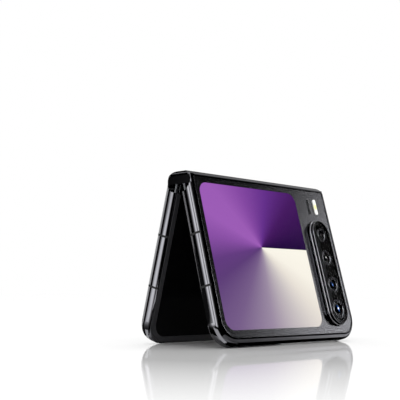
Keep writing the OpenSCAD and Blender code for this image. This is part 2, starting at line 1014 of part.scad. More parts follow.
module cover_frame() {
  color("dimgray")
  on_cover()
    difference() {
      frame_shell(2);
      key_slot(volume_z, volume_len);
      key_slot(power_z, power_len);
      disc(0, selfie_z, in_y - 1, mid_y + 1, 2.6);
      translate([mic_port_x, port_y, free_z - 1])
        cylinder(r = mic_port_r, h = 6);
      screen_block(snug);
      box(flash_x - flash_pad - 0.1, flash_x + flash_pad + 0.1, display_y - flash_t - snug,
          glass_back, flash_z - 3.1, flash_z + 3.1);
    }
}

module key_slot(z, len) {
  translate([in_w - 1, key_y, z])
    rotate([90, 0, 90])
      linear_extrude(wall_t + 2)
        pill(key_w + 0.2, len + 0.2);
  box(in_w - 1, in_w + key_flange + 0.35, key_y - key_w / 2 - 0.5, key_y + key_w / 2 + 0.5,
      z - len / 2 - 0.6, z + len / 2 + 0.6);
}

module key(z, len) {
  translate([in_w + 0.4, key_y, z])
    rotate([90, 0, 90])
      linear_extrude(key_x - in_w - 0.4)
        pill(key_w, len);
  box(in_w + key_travel + 0.1, in_w + key_flange + 0.3, key_y - key_w / 2 - 0.4,
      key_y + key_w / 2 + 0.4, z - len / 2 - 0.5, z + len / 2 + 0.5);
}

module volume_key() {
  color("dimgray")
  on_cover()
    key(volume_z, volume_len);
}

module power_key() {
  color("dimgray")
  on_cover()
    key(power_z, power_len);
}

module key_switches() {
  color("gold")
  on_cover()
    union() {
      box(in_w - 1.3, in_w - 0.9, key_y - 1, key_y + 1, power_z - power_len / 2,
          volume_z + volume_len / 2);
      for (z = [volume_z - 2.4, volume_z + 2.4, power_z])
        translate([in_w - 0.95, key_y, z])
          rotate([0, 90, 0])
            cylinder(r1 = 1.1, r2 = 0.7, h = 0.95);
    }
}

module cover_bezel_ring() {
  color("black")
  on_cover()
    difference() {
      bezel_ring(ink_y - 0.01);
      screen_block(snug);
    }
}

module cover_glass() {
  color("darkslategray", 0.5)
  on_cover()
    difference() {
      slab(glass_back, glass_y)
        outline(glass_w, glass_top, glass_low, 1.15, glass_r);
      slab(glass_back - 1, glass_y + 1)
        translate([bump_x, bump_z])
          pill(bump_w - 1.2, bump_len - 1.2);
      slab(glass_back - 1, glass_y + 1)
        translate([flash_x, flash_z])
          pill(flash_w + 0.1, flash_len + 0.1);
      slab(glass_y - 0.3, glass_y + 1)
        translate([mic_x, flash_z])
          pill(0.6, flash_len - 0.4);
    }
}

// Black print on the inner face of the cover glass, open over the screen
module cover_ink() {
  color("black")
  on_cover()
    slab(ink_y, ink_y + ink_t)
      difference() {
        outline(glass_w, glass_top, glass_low, 1.15, glass_r);
        translate([screen_x + screen_w / 2, 0])
          outline(screen_w / 2, hinge_z - screen_top, hinge_z - screen_top - screen_h,
                  screen_r, screen_r);
        translate([bump_x, bump_z])
          pill(bump_w - 1.2, bump_len - 1.2);
        translate([flash_x, flash_z])
          pill(flash_w + 0.1, flash_len + 0.1);
      }
}

module cover_antenna_breaks() {
  color("gray")
  on_cover()
    antenna_fill(2);
}

module cover_sync_arms() {
  color("silver")
  on_cover()
    sync_arms(mesh_a - lean + half_tooth);
}

module cover_torque_arms() {
  color("silver")
  on_cover()
    torque_arms();
}

module cover_arm_screws() {
  color("gray")
  on_cover()
    arm_screws();
}

module cover_screen_plate() {
  color("silver")
  on_cover()
    screen_plate(true);
}

module cover_folding_screen() {
  color("black")
  on_cover()
    screen_film(true);
}

module cover_inner_rim() {
  color("dimgray")
  on_cover()
    inner_rim();
}

module cover_battery() {
  color("dimgray")
  on_cover()
    battery(cover_cell_side - in_w, bump_x - cover_cell_far, main_board_top + cover_cell_gap,
            room_t - 1.23);
}

module main_board() {
  color("darkgreen")
  on_cover()
    board(main_board_side - in_w, bump_x - main_board_far, in_low + main_board_low, main_board_top,
          [[0.03, 0.1, 0.23, 0.76, 1.6], [0.3, 0.1, 0.14, 0.48, 1.2],
           [0.46, 0.17, 0.055, 0.62, 0.9], [0.7, 0.07, 0.19, 0.83, 1.5],
           [0.3, 0.66, 0.11, 0.24, 1.0]]);
}

// The cover screen, or the room for it with some clearance around
module screen_block(room) {
  edge = screen_edge + room;
  slab(display_y - screen_t - room, display_y + room)
    translate([screen_x + screen_w / 2, 0])
      outline(screen_w / 2 + edge, hinge_z - screen_top + edge,
              hinge_z - screen_top - screen_h - edge, screen_r, screen_r);
}

module cover_display() {
  color("purple")
  on_cover()
    screen_block(0);
}

// Section of the camera housing: X is the distance from its middle line, Y the depth
module housing_section() {
  top_w = bump_r - plinth_step;
  hole_w = bump_r - bump_wall;
  difference() {
    union() {
      translate([hole_w - bump_shelf, glass_back - 0.8])
        square([bump_shelf + bump_wall - 0.65, glass_t + 1]);
      translate([hole_w - bump_shelf, glass_y])
        square([bump_r - hole_w + bump_shelf - e, plinth_h - bump_round]);
      translate([hole_w - bump_shelf, glass_y])
        square([bump_r - hole_w + bump_shelf - bump_round, plinth_h]);
      translate([bump_r - bump_round, glass_y + plinth_h - bump_round])
        circle(r = bump_round);
      translate([hole_w - bump_shelf, glass_y])
        square([top_w - hole_w + bump_shelf, bump_h - bump_round]);
      translate([hole_w - bump_shelf, glass_y])
        square([top_w - hole_w + bump_shelf - bump_round, bump_h]);
      translate([top_w - bump_round, bump_y - bump_round])
        circle(r = bump_round);
    }
    translate([hole_w - 1, bump_y - bump_lip])
      square([1, 1]);
    polygon([[hole_w - e, bump_y - 0.25], [hole_w + 0.27, bump_y + e], [hole_w - e, bump_y + e]]);
  }
}

module camera_housing() {
  side = bump_len / 2 - bump_r;
  color("black")
  on_cover()
    translate([bump_x, 0, bump_z])
      union() {
        both_ends()
          translate([0, 0, -side])
            linear_extrude(2 * side)
              housing_section();
        for (s = [-1, 1])
          scale([1, 1, s])
            translate([0, 0, side])
              rotate([90, 0, 0])
                rotate_extrude(angle = 180)
                  mirror([0, 1, 0])
                    housing_section();
      }
}

module camera_glass() {
  color("darkslategray", 0.5)
  on_cover()
    slab(bump_y - bump_lip + 0.01, bump_y - 0.12)
      translate([bump_x, bump_z])
        pill(bump_w - 2 * bump_wall - 0.06, bump_len - 2 * bump_wall - 0.06);
}

module lens_rings() {
  color("dimgray")
  on_cover()
    for (i = [0 : 3])
      difference() {
        disc(bump_x, lens_z[i], trim_y, bump_y - bump_lip - 0.01, lens_rr[i]);
        translate([bump_x, bump_y - bump_lip + 0.02, lens_z[i]])
          rotate([90, 0, 0])
            cylinder(r1 = 0.86 * lens_rr[i], r2 = 0.6 * lens_rr[i], h = 1.6);
      }
}

// Black block that the lens rings sit in, right under the camera glass
module camera_trim() {
  color("black")
  on_cover()
    difference() {
      slab(trim_y, bump_y - bump_lip - 0.01)
        translate([bump_x, bump_z])
          pill(bump_w - 2 * trim_in, bump_len - 2 * trim_in);
      for (i = [0 : 3])
        disc(bump_x, lens_z[i], trim_y - 1, bump_y, lens_rr[i] + 0.02);
    }
}

// A camera: its square body, then its stepped barrel and front lens
module camera(i, body_share, deep) {
  r = 0.58 * lens_rr[i];
  body_half = body_share * lens_rr[i];
  box(bump_x - body_half, bump_x + body_half, deep, glass_back - 1.2,
      lens_z[i] - body_half, lens_z[i] + body_half);
  disc(bump_x, lens_z[i], glass_back - 1.3, bump_y - 1.55, r);
  translate([bump_x, bump_y - 1.56, lens_z[i]])
    rotate([-90, 0, 0])
      cylinder(r1 = r, r2 = 0.8 * r, h = 0.35);
}

module camera_main() {
  color("black")
  on_cover()
    camera(3, 1.13, floor_y + 0.1);
}

module camera_wide() {
  color("black")
  on_cover()
    camera(2, 1.16, floor_y + 0.3);
}

module camera_zoom() {
  color("black")
  on_cover()
    camera(1, 1.19, floor_y + 0.2);
}

module camera_colour_sensor() {
  color("black")
  on_cover()
    camera(0, 0.95, floor_y + 1.6);
}

module flash_led() {
  color("white")
  on_cover()
    union() {
      slab(display_y - e, glass_y - 0.02)
        translate([flash_x, flash_z])
          pill(flash_w, flash_len);
      box(flash_x - flash_pad, flash_x + flash_pad, display_y - flash_t, display_y,
          flash_z - 3, flash_z + 3);
    }
}

module selfie_camera() {
  color("black")
  on_cover()
    union() {
      disc(0, selfie_z, film_y + 0.05, mid_y - 0.1, selfie_r - 0.1);
      disc(0, selfie_z, plate_y + 0.1, mid_y + 0.3, selfie_r + 0.2);
    }
}

module earpiece() {
  color("black")
  on_cover()
    box(earpiece_side - in_w, earpiece_side + earpiece_w - in_w, floor_y, floor_y + earpiece_t,
        in_low + 0.1, in_low + earpiece_deep);
}

spine_cover();
spine_end_caps();
hinge_brackets();
hinge_shafts();
friction_washers();
gear_plates();
sync_pins();
folding_screen_bend();
idler_gears_base();
idler_gears_cover();
base_frame();
base_bezel_ring();
base_back_glass();
base_antenna_breaks();
base_sync_arms();
base_torque_arms();
base_arm_screws();
base_screen_plate();
base_folding_screen();
base_inner_rim();
base_battery();
base_board();
usb_port();
loudspeaker();
vibration_motor();
charging_coil();
sim_tray();
cover_frame();
cover_bezel_ring();
cover_glass();
cover_antenna_breaks();
cover_sync_arms();
cover_torque_arms();
cover_arm_screws();
cover_screen_plate();
cover_folding_screen();
cover_inner_rim();
cover_battery();
main_board();
cover_display();
cover_ink();
camera_housing();
camera_glass();
camera_trim();
lens_rings();
camera_main();
camera_wide();
camera_zoom();
camera_colour_sensor();
flash_led();
selfie_camera();
earpiece();
volume_key();
power_key();
key_switches();
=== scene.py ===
import math
import bmesh
import bpy
from mathutils import Matrix, Vector


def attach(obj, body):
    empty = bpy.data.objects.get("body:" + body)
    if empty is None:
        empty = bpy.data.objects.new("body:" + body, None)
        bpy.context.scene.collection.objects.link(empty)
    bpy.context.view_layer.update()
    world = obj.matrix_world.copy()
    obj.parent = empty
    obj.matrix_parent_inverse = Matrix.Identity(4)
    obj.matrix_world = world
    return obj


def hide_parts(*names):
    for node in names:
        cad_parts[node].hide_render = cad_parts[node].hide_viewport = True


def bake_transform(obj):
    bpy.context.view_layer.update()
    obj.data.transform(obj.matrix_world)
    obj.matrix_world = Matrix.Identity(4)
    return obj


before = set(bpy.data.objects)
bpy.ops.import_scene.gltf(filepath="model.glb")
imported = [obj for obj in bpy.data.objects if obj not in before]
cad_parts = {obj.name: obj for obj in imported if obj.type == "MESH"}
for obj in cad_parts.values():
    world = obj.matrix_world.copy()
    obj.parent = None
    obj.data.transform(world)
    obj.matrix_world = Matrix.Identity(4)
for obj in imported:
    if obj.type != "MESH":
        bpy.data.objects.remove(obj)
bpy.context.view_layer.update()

# ---------------------------------------------------------------- sizes
# Lengths are millimetres, as in the CAD source. Times MM they are metres, which the shared
# frame counts in. Places are in a half's own space, which is set out further down.
MM = 0.001
# How far each half leans, the pivots' distance from the spine's middle and their height,
# and the shift that centres the whole phone over the shared origin
LEAN = math.radians(15.2)
PIVOT_Y = 1.85
PIVOT_Z = 67.5139
SHIFT_X = -0.225
SHIFT_Y = 0.6170
# The free edge's height, and the depths of the inner face and the glass's outer face
FREE_Z = -69.85
IN_Y = -1.45
GLASS_Y = 5.7
# The folding screen: half its width, its bend's thickness, the depth of its middle and
# the height of its top edge
FILM_HALF_W = 42.98
FILM_T = 0.3
FILM_MID_Y = IN_Y + 0.225
FILM_TOP_Z = -1.2
# The bend: the height of its middle, low enough for a shallow crease when flat, the reach
# of its curve's handles and its number of steps
BEND_TOP = -0.1
BEND_REACH = 0.7
BEND_STEPS = 20
# The camera housing: its middle, its height over the glass, half its straight length, and
# how far from its middle line the bare wall begins
BUMP_X = 32.5
BUMP_MID = -39.35
BUMP_H = 2.3
BUMP_STRAIGHT = 18.3
BARE_FROM = 5.45
# The four lenses: their heights and their rings' radii
LENS_Z = (-21.85, -32.85, -45.65, -56.85)
LENS_R = (3.168, 3.52, 3.784, 4.4)
# Each lens's dome of glass: its foot's depth, its radius as a share of the ring's and its
# rise as a share of its own radius
DOME_Y = 6.8
DOME_SHARE = 0.46
DOME_RISE = 0.22
# The crest in each ring's mouth: its foot's depth, its radius as a share of the ring's,
# half its width and its height
CREST_Y = 7.3
CREST_SHARE = 0.82
CREST_T = 0.12
CREST_H = 0.17
# The point that the screen's colours turn round, the flash and the microphone's slit
SCREEN_CENTRE = (-9.54, -28.93)
FLASH = (35.55, -7.35)
MIC_X = 30.95
# The polished crown on a half's sides: its middle, half its width and its height
CROWN_Y = 1.88
CROWN_HALF = 3.6
CROWN_H = 0.75
# Rows of contacts in the charging port: their size, where they start, their step, their
# number and their height, and the depth and half the thickness of the tongue under them
CONTACT_SIZE = (0.25, 0.04, 3.0)
CONTACT_X = -2.75
CONTACT_STEP = 0.5
CONTACTS = 12
CONTACT_Z = FREE_Z + 3.4
TONGUE_Y = 1.25
TONGUE_HALF = 0.36

# Each half has its own space: the pivot is its origin, Y runs out through its back
# and Z runs up to the hinge. These carry that space into the shared one.
BASE = (Matrix.Translation(MM * Vector((SHIFT_X, SHIFT_Y + PIVOT_Y, PIVOT_Z)))
        @ Matrix.Rotation(LEAN, 4, "X"))
COVER = (Matrix.Translation(MM * Vector((SHIFT_X, SHIFT_Y - PIVOT_Y, PIVOT_Z)))
         @ Matrix.Rotation(-LEAN, 4, "X") @ Matrix.Scale(-1, 4, (0, 1, 0)))
# The spine's own space: its origin is halfway between the pivots
SPINE = Matrix.Translation(MM * Vector((SHIFT_X, SHIFT_Y, PIVOT_Z)))


def place(half, x, y, z):
    """A point of a half's own space, in the shared one."""
    return half @ Vector((x * MM, y * MM, z * MM))


# ---------------------------------------------------------------- materials
def colour(hex_code):
    """An sRGB hex value as the linear colour that a socket takes."""
    out = []
    for i in (1, 3, 5):
        c = int(hex_code[i:i + 2], 16) / 255
        out.append(c / 12.92 if c <= 0.04045 else ((c + 0.055) / 1.055) ** 2.4)
    return (*out, 1.0)


def add(owner, kind, settings=None, inputs=None):
    """Adds one node to a material or the world: its own settings, with a ramp's as stops of
    (place, hex value), then a value or another node's output for each input."""
    node = owner.node_tree.nodes.new("ShaderNode" + kind)
    for key, value in (settings or {}).items():
        if key == "stops":
            set_stops(node.color_ramp.elements, value)
        else:
            setattr(node, key, value)
    for key, value in (inputs or {}).items():
        if isinstance(value, bpy.types.NodeSocket):
            owner.node_tree.links.new(value, node.inputs[key])
        else:
            node.inputs[key].default_value = value
    return node


def set_stops(elements, stops):
    """Gives a ramp its stops in place of the two that it starts with."""
    elements.remove(elements[0])
    elements[0].position = stops[0][0]
    elements[0].color = colour(stops[0][1])
    for at, hex_code in stops[1:]:
        elements.new(at).color = colour(hex_code)


def start(name):
    """A new material that holds nothing but its output."""
    mat = bpy.data.materials.new(name)
    mat.use_nodes = True
    mat.node_tree.nodes.clear()
    add(mat, "OutputMaterial")
    return mat


def end(mat, shader):
    """Joins a material's last shader to its output."""
    mat.node_tree.links.new(shader, mat.node_tree.nodes["Material Output"].inputs["Surface"])
    return mat


def millimetres(mat):
    """Object coordinates counted in millimetres."""
    coords = add(mat, "TexCoord").outputs["Object"]
    return add(mat, "Mapping", {"vector_type": "POINT"},
               {"Vector": coords, "Scale": (1 / MM, 1 / MM, 1 / MM)}).outputs[0]


def in_half(mat, half, x, y, z):
    """Millimetres in a half's own directions, counted from a point of it. In the cover
    half Y runs in through the back, since the half is a mirror image."""
    coords = add(mat, "TexCoord")
    lean = LEAN if half is BASE else -LEAN
    turned = add(mat, "Mapping", {"vector_type": "TEXTURE"},
                 {"Vector": coords.outputs["Object"], "Location": place(half, x, y, z),
                  "Rotation": (lean, 0, 0), "Scale": (MM, MM, MM)})
    return turned.outputs[0]


def in_cover(mat, x, z):
    """The same for the cover half, counted from a point of its glass."""
    return in_half(mat, COVER, x, GLASS_Y, z)


def round_turn(mat, a, b):
    """How far a point lies round a full turn, from 0 to 1."""
    angle = add(mat, "Math", {"operation": "ARCTAN2"}, {0: a, 1: b})
    turns = add(mat, "Math", {"operation": "DIVIDE"}, {0: angle.outputs[0], 1: 2 * math.pi})
    return add(mat, "Math", {"operation": "FRACT"}, {0: turns.outputs[0]}).outputs[0]


def anodised_aluminium(name, hex_code, light, rough, half=None):
    # Anodised aluminium, milled, polished and dyed black: a dark mirror that stays crisp,
    # with a faint cloudiness in its gloss from handling and a very fine polishing haze.
    # A half's sides are polished to a slight crown, so that light runs along them in bands.
    mat = start(name)
    mm = millimetres(mat)
    haze = add(mat, "TexNoise", {"noise_dimensions": "3D"},
               {"Vector": mm, "Scale": 0.12, "Detail": 3.0, "Roughness": 0.6})
    grain = add(mat, "TexNoise", None, {"Vector": mm, "Scale": 9.0, "Detail": 2.0})
    dye = add(mat, "ValToRGB", {"stops": [(0.3, hex_code), (0.75, light)]},
              {"Fac": haze.outputs["Fac"]}).outputs[0]
    gloss = add(mat, "MapRange", None,
                {"Value": haze.outputs["Fac"], "From Min": 0.3, "From Max": 0.7,
                 "To Min": rough * 0.8, "To Max": rough * 1.25})
    bump = add(mat, "Bump", None,
               {"Height": grain.outputs["Fac"], "Strength": 0.03, "Distance": 0.02 * MM})
    if half:
        spot = add(mat, "SeparateXYZ", None, {0: in_half(mat, half, 0, CROWN_Y, 0)})
        off = add(mat, "Math", {"operation": "ABSOLUTE"}, {0: spot.outputs[1]})
        crown = add(mat, "MapRange", {"interpolation_type": "SMOOTHSTEP"},
                    {"Value": off.outputs[0], "From Min": CROWN_HALF, "From Max": 0.0,
                     "To Min": 0.0, "To Max": CROWN_H})
        bump = add(mat, "Bump", None, {"Height": crown.outputs[0], "Distance": MM,
                                       "Normal": bump.outputs["Normal"]})
    shader = add(mat, "BsdfPrincipled", None,
                 {"Base Color": dye, "Metallic": 1.0, "Roughness": gloss.outputs[0],
                  "Normal": bump.outputs["Normal"]})
    return end(mat, shader.outputs[0])


def camera_housing_metal():
    # Aluminium with a hard carbon coat on its flats, which are deep black, and walls and
    # rounded edges left as polished metal, which draw thin lines of light round it.
    mat = start("carbon_coated_aluminium")
    spot = add(mat, "SeparateXYZ", None, {0: in_cover(mat, BUMP_X, BUMP_MID)})
    depth = add(mat, "Math", {"operation": "ABSOLUTE"}, {0: spot.outputs[1]})
    share = add(mat, "Math", {"operation": "DIVIDE"}, {0: depth.outputs[0], 1: BUMP_H})
    along = add(mat, "Math", {"operation": "ABSOLUTE"}, {0: spot.outputs[2]})
    past = add(mat, "Math", {"operation": "SUBTRACT"},
               {0: along.outputs[0], 1: BUMP_STRAIGHT})
    past_end = add(mat, "Math", {"operation": "MAXIMUM"}, {0: past.outputs[0], 1: 0.0})
    from_line = add(mat, "CombineXYZ", None, {0: spot.outputs[0], 2: past_end.outputs[0]})
    reach = add(mat, "VectorMath", {"operation": "LENGTH"}, {0: from_line.outputs[0]})
    outside = add(mat, "Math", {"operation": "GREATER_THAN"},
                  {0: reach.outputs["Value"], 1: BARE_FROM})
    tone = add(mat, "ValToRGB",
               {"stops": [(0.0, "#6a6a6e"), (0.24, "#6a6a6e"), (0.27, "#88888c"),
                          (0.4, "#88888c"), (0.42, "#101012"), (0.44, "#101012"),
                          (0.46, "#46464a"), (0.8, "#46464a"), (0.82, "#88888c"),
                          (0.9, "#88888c"), (0.92, "#202023"), (0.99, "#101012")]},
               {"Fac": share.outputs[0]}).outputs[0]
    both = add(mat, "Mix", {"data_type": "RGBA"},
               {0: outside.outputs[0], 6: colour("#101012"), 7: tone})
    worn = add(mat, "TexNoise", None, {"Vector": millimetres(mat), "Scale": 0.2, "Detail": 2.0})
    gloss = add(mat, "MapRange", None,
                {"Value": worn.outputs["Fac"], "From Min": 0.3, "From Max": 0.7,
                 "To Min": 0.05, "To Max": 0.1})
    shader = add(mat, "BsdfPrincipled", None,
                 {"Base Color": both.outputs[2], "Metallic": 1.0,
                  "Roughness": gloss.outputs[0]})
    return end(mat, shader.outputs[0])


def brushed_steel(name, hex_code, rough, along):
    # Stainless steel, rolled and brushed one way: long soft streaks of light and dark
    # that follow the piece's length.
    mat = start(name)
    mm = millimetres(mat)
    squeeze = [6.0, 6.0, 6.0]
    squeeze[along] = 0.15
    streak = add(mat, "Mapping", None, {"Vector": mm, "Scale": squeeze})
    lines = add(mat, "TexNoise", None,
                {"Vector": streak.outputs[0], "Scale": 1.0, "Detail": 4.0, "Roughness": 0.7})
    tone = add(mat, "ValToRGB", {"stops": [(0.3, hex_code), (0.7, "#b9bcc0")]},
               {"Fac": lines.outputs["Fac"]}).outputs[0]
    gloss = add(mat, "MapRange", None,
                {"Value": lines.outputs["Fac"], "To Min": rough * 0.7, "To Max": rough * 1.3})
    bump = add(mat, "Bump", None,
               {"Height": lines.outputs["Fac"], "Strength": 0.12, "Distance": 0.05 * MM})
    shader = add(mat, "BsdfPrincipled", None,
                 {"Base Color": tone, "Metallic": 1.0, "Roughness": gloss.outputs[0],
                  "Normal": bump.outputs["Normal"]})
    return end(mat, shader.outputs[0])


def machined_brass():
    # Free-cutting brass, hobbed and tumbled: warm yellow with fine cutter marks round it.
    mat = start("machined_brass")
    mm = millimetres(mat)
    marks = add(mat, "TexWave", {"wave_type": "BANDS", "bands_direction": "X"},
                {"Vector": mm, "Scale": 3.0, "Distortion": 0.6, "Detail": 2.0})
    tone = add(mat, "ValToRGB", {"stops": [(0.0, "#a98748"), (1.0, "#d9b873")]},
               {"Fac": marks.outputs["Fac"]}).outputs[0]
    bump = add(mat, "Bump", None,
               {"Height": marks.outputs["Fac"], "Strength": 0.15, "Distance": 0.04 * MM})
    shader = add(mat, "BsdfPrincipled", None,
                 {"Base Color": tone, "Metallic": 1.0, "Roughness": 0.28,
                  "Normal": bump.outputs["Normal"]})
    return end(mat, shader.outputs[0])


def cover_glass(name, ior):
    # Ion-strengthened glass with an anti-reflection coat: clear, flat and very smooth,
    # so that the print and the screen under it look as if they lay on the surface.
    mat = start(name)
    mm = millimetres(mat)
    smear = add(mat, "TexNoise", None, {"Vector": mm, "Scale": 0.05, "Detail": 2.0})
    film = add(mat, "MapRange", None,
               {"Value": smear.outputs["Fac"], "To Min": 0.0, "To Max": 0.02})
    shader = add(mat, "BsdfPrincipled", None,
                 {"Base Color": colour("#fbfbfc"), "Roughness": film.outputs[0], "IOR": ior,
                  "Transmission Weight": 1.0})
    return end(mat, shader.outputs[0])


def tinted_back_glass():
    # Strengthened glass backed with black lacquer: deep black under a hard clear gloss,
    # with a trace of orange peel from the slumping of the sheet.
    mat = start("black_backed_glass")
    mm = millimetres(mat)
    peel = add(mat, "TexNoise", None, {"Vector": mm, "Scale": 0.09, "Detail": 1.0})
    depth = add(mat, "ValToRGB", {"stops": [(0.3, "#0b0b0d"), (0.7, "#101013")]},
                {"Fac": peel.outputs["Fac"]}).outputs[0]
    bump = add(mat, "Bump", None,
               {"Height": peel.outputs["Fac"], "Strength": 0.02, "Distance": 0.2 * MM})
    shader = add(mat, "BsdfPrincipled", None,
                 {"Base Color": depth, "Roughness": 0.04, "IOR": 1.5,
                  "Normal": bump.outputs["Normal"]})
    return end(mat, shader.outputs[0])


def metallic_ink():
    # Vacuum-metallised film printed on the inner face of the glass: a smoked mirror that
    # is black where the room is dark and pewter where a soft light falls on it.
    mat = start("smoked_metallised_print")
    mm = millimetres(mat)
    flake = add(mat, "TexNoise", None, {"Vector": mm, "Scale": 14.0, "Detail": 2.0})
    tone = add(mat, "ValToRGB", {"stops": [(0.35, "#67676a"), (0.65, "#6b6b6e")]},
               {"Fac": flake.outputs["Fac"]}).outputs[0]
    shader = add(mat, "BsdfPrincipled", None,
                 {"Base Color": tone, "Metallic": 1.0, "Roughness": 0.16})
    return end(mat, shader.outputs[0])


def camera_print():
    # Black ceramic ink under the camera glass: flat and dense, a trace paler towards the
    # free edge, with a fine diagonal knurl along the inner side that stops stray light.
    mat = start("black_ceramic_ink")
    spot = in_cover(mat, BUMP_X, LENS_Z[1])
    parts = add(mat, "SeparateXYZ", None, {0: spot})
    near_wall = add(mat, "MapRange", {"interpolation_type": "SMOOTHSTEP"},
                    {"Value": parts.outputs[0], "From Min": -2.4, "From Max": -3.2,
                     "To Min": 0.0, "To Max": 1.0})
    turned = add(mat, "Mapping", None, {"Vector": spot, "Rotation": (0, math.radians(38), 0)})
    knurl = add(mat, "TexWave", {"wave_type": "BANDS", "bands_direction": "X",
                                 "wave_profile": "TRI"},
                {"Vector": turned.outputs[0], "Scale": 0.62})
    height = add(mat, "Math", {"operation": "MULTIPLY"},
                 {0: knurl.outputs["Fac"], 1: near_wall.outputs[0]}).outputs[0]
    knurled = add(mat, "ValToRGB", {"stops": [(0.0, "#000000"), (1.0, "#4c4c50")]},
                  {"Fac": height}).outputs[0]
    fall = add(mat, "MapRange", {"interpolation_type": "SMOOTHSTEP"},
               {"Value": parts.outputs[2], "From Min": 0.0, "From Max": -16.0})
    ink = add(mat, "ValToRGB", {"stops": [(0.0, "#030303"), (1.0, "#1c1c1c")]},
              {"Fac": fall.outputs[0]}).outputs[0]
    tone = add(mat, "VectorMath", {"operation": "ADD"}, {0: knurled, 1: ink}).outputs[0]
    bump = add(mat, "Bump", None, {"Height": height, "Strength": 0.6, "Distance": 0.2 * MM})
    shader = add(mat, "BsdfPrincipled", None,
                 {"Base Color": tone, "Roughness": 0.45, "IOR": 1.08,
                  "Normal": bump.outputs["Normal"]})
    return end(mat, shader.outputs[0])


def folding_film():
    # Thin glass under a polymer film, switched off: black and glossy, with the gentle
    # ripple that a laminated film shows and a fine pixel grid that only takes the shine off.
    mat = start("folding_screen_film")
    mm = millimetres(mat)
    ripple = add(mat, "TexNoise", None, {"Vector": mm, "Scale": 0.06, "Detail": 1.0})
    grid = add(mat, "TexNoise", None, {"Vector": mm, "Scale": 12.0, "Detail": 0.0})
    tone = add(mat, "ValToRGB", {"stops": [(0.4, "#050506"), (0.6, "#08080a")]},
               {"Fac": grid.outputs["Fac"]}).outputs[0]
    bump = add(mat, "Bump", None,
               {"Height": ripple.outputs["Fac"], "Strength": 0.03, "Distance": 0.4 * MM})
    shader = add(mat, "BsdfPrincipled", None,
                 {"Base Color": tone, "Roughness": 0.12, "IOR": 1.22,
                  "Normal": bump.outputs["Normal"]})
    return end(mat, shader.outputs[0])


def soft_rim():
    # Thermoplastic elastomer, moulded: a matt dark grey lip with a very fine mould grain.
    mat = start("moulded_elastomer")
    mm = millimetres(mat)
    grain = add(mat, "TexNoise", None, {"Vector": mm, "Scale": 5.0, "Detail": 3.0})
    tone = add(mat, "ValToRGB", {"stops": [(0.3, "#26262a"), (0.7, "#303034")]},
               {"Fac": grain.outputs["Fac"]}).outputs[0]
    bump = add(mat, "Bump", None,
               {"Height": grain.outputs["Fac"], "Strength": 0.15, "Distance": 0.04 * MM})
    shader = add(mat, "BsdfPrincipled", None,
                 {"Base Color": tone, "Roughness": 0.55, "IOR": 1.48,
                  "Normal": bump.outputs["Normal"]})
    return end(mat, shader.outputs[0])


def moulded_plastic(name, dark, light, rough):
    # Glass-filled plastic, injection moulded: dull and even, with a fine spark-eroded
    # texture and slightly paler where it was handled.
    mat = start(name)
    mm = millimetres(mat)
    spark = add(mat, "TexNoise", None, {"Vector": mm, "Scale": 4.0, "Detail": 4.0})
    cloud = add(mat, "TexNoise", None, {"Vector": mm, "Scale": 0.15, "Detail": 2.0})
    tone = add(mat, "ValToRGB", {"stops": [(0.3, dark), (0.75, light)]},
               {"Fac": cloud.outputs["Fac"]}).outputs[0]
    bump = add(mat, "Bump", None,
               {"Height": spark.outputs["Fac"], "Strength": 0.2, "Distance": 0.05 * MM})
    shader = add(mat, "BsdfPrincipled", None,
                 {"Base Color": tone, "Roughness": rough, "IOR": 1.5,
                  "Normal": bump.outputs["Normal"]})
    return end(mat, shader.outputs[0])


def battery_foil():
    # Aluminium laminate pouch with a grey wrap: satin, softly puckered over the cell.
    mat = start("laminate_pouch_foil")
    mm = millimetres(mat)
    pucker = add(mat, "TexNoise", None, {"Vector": mm, "Scale": 0.35, "Detail": 3.0})
    tone = add(mat, "ValToRGB", {"stops": [(0.3, "#4f5054"), (0.7, "#66676c")]},
               {"Fac": pucker.outputs["Fac"]}).outputs[0]
    bump = add(mat, "Bump", None,
               {"Height": pucker.outputs["Fac"], "Strength": 0.25, "Distance": 0.3 * MM})
    shader = add(mat, "BsdfPrincipled", None,
                 {"Base Color": tone, "Metallic": 0.7, "Roughness": 0.42,
                  "Normal": bump.outputs["Normal"]})
    return end(mat, shader.outputs[0])


def circuit_board():
    # Glass-epoxy board under green solder resist, with gilded pads: small cells of
    # resist, tracks a little paler, and bright pads here and there.
    mat = start("solder_resist_board")
    mm = millimetres(mat)
    cells = add(mat, "TexVoronoi", {"feature": "F1", "distance": "CHEBYCHEV"},
                {"Vector": mm, "Scale": 0.7})
    tracks = add(mat, "TexBrick", None,
                 {"Vector": mm, "Scale": 0.6, "Mortar Size": 0.03,
                  "Color1": colour("#0f5a3a"), "Color2": colour("#0c4d33"),
                  "Mortar": colour("#2c7c56")})
    pad = add(mat, "Math", {"operation": "LESS_THAN"},
              {0: cells.outputs["Distance"], 1: 0.16}).outputs[0]
    tone = add(mat, "Mix", {"data_type": "RGBA"},
               {0: pad, 6: tracks.outputs["Color"], 7: colour("#caa653")})
    shader = add(mat, "BsdfPrincipled", None,
                 {"Base Color": tone.outputs[2], "Roughness": 0.35, "IOR": 1.5,
                  "Metallic": pad})
    return end(mat, shader.outputs[0])


def copper_winding():
    # Enamelled copper wire, wound flat: a red metal under clear amber enamel, its
    # strands seen as fine rings.
    mat = start("enamelled_copper_winding")
    mm = millimetres(mat)
    strand = add(mat, "TexNoise", None, {"Vector": mm, "Scale": 3.0, "Detail": 2.0})
    tone = add(mat, "ValToRGB", {"stops": [(0.3, "#a3582f"), (0.7, "#cf8455")]},
               {"Fac": strand.outputs["Fac"]}).outputs[0]
    shader = add(mat, "BsdfPrincipled", None,
                 {"Base Color": tone, "Metallic": 1.0, "Roughness": 0.25,
                  "Coat Weight": 0.6})
    return end(mat, shader.outputs[0])


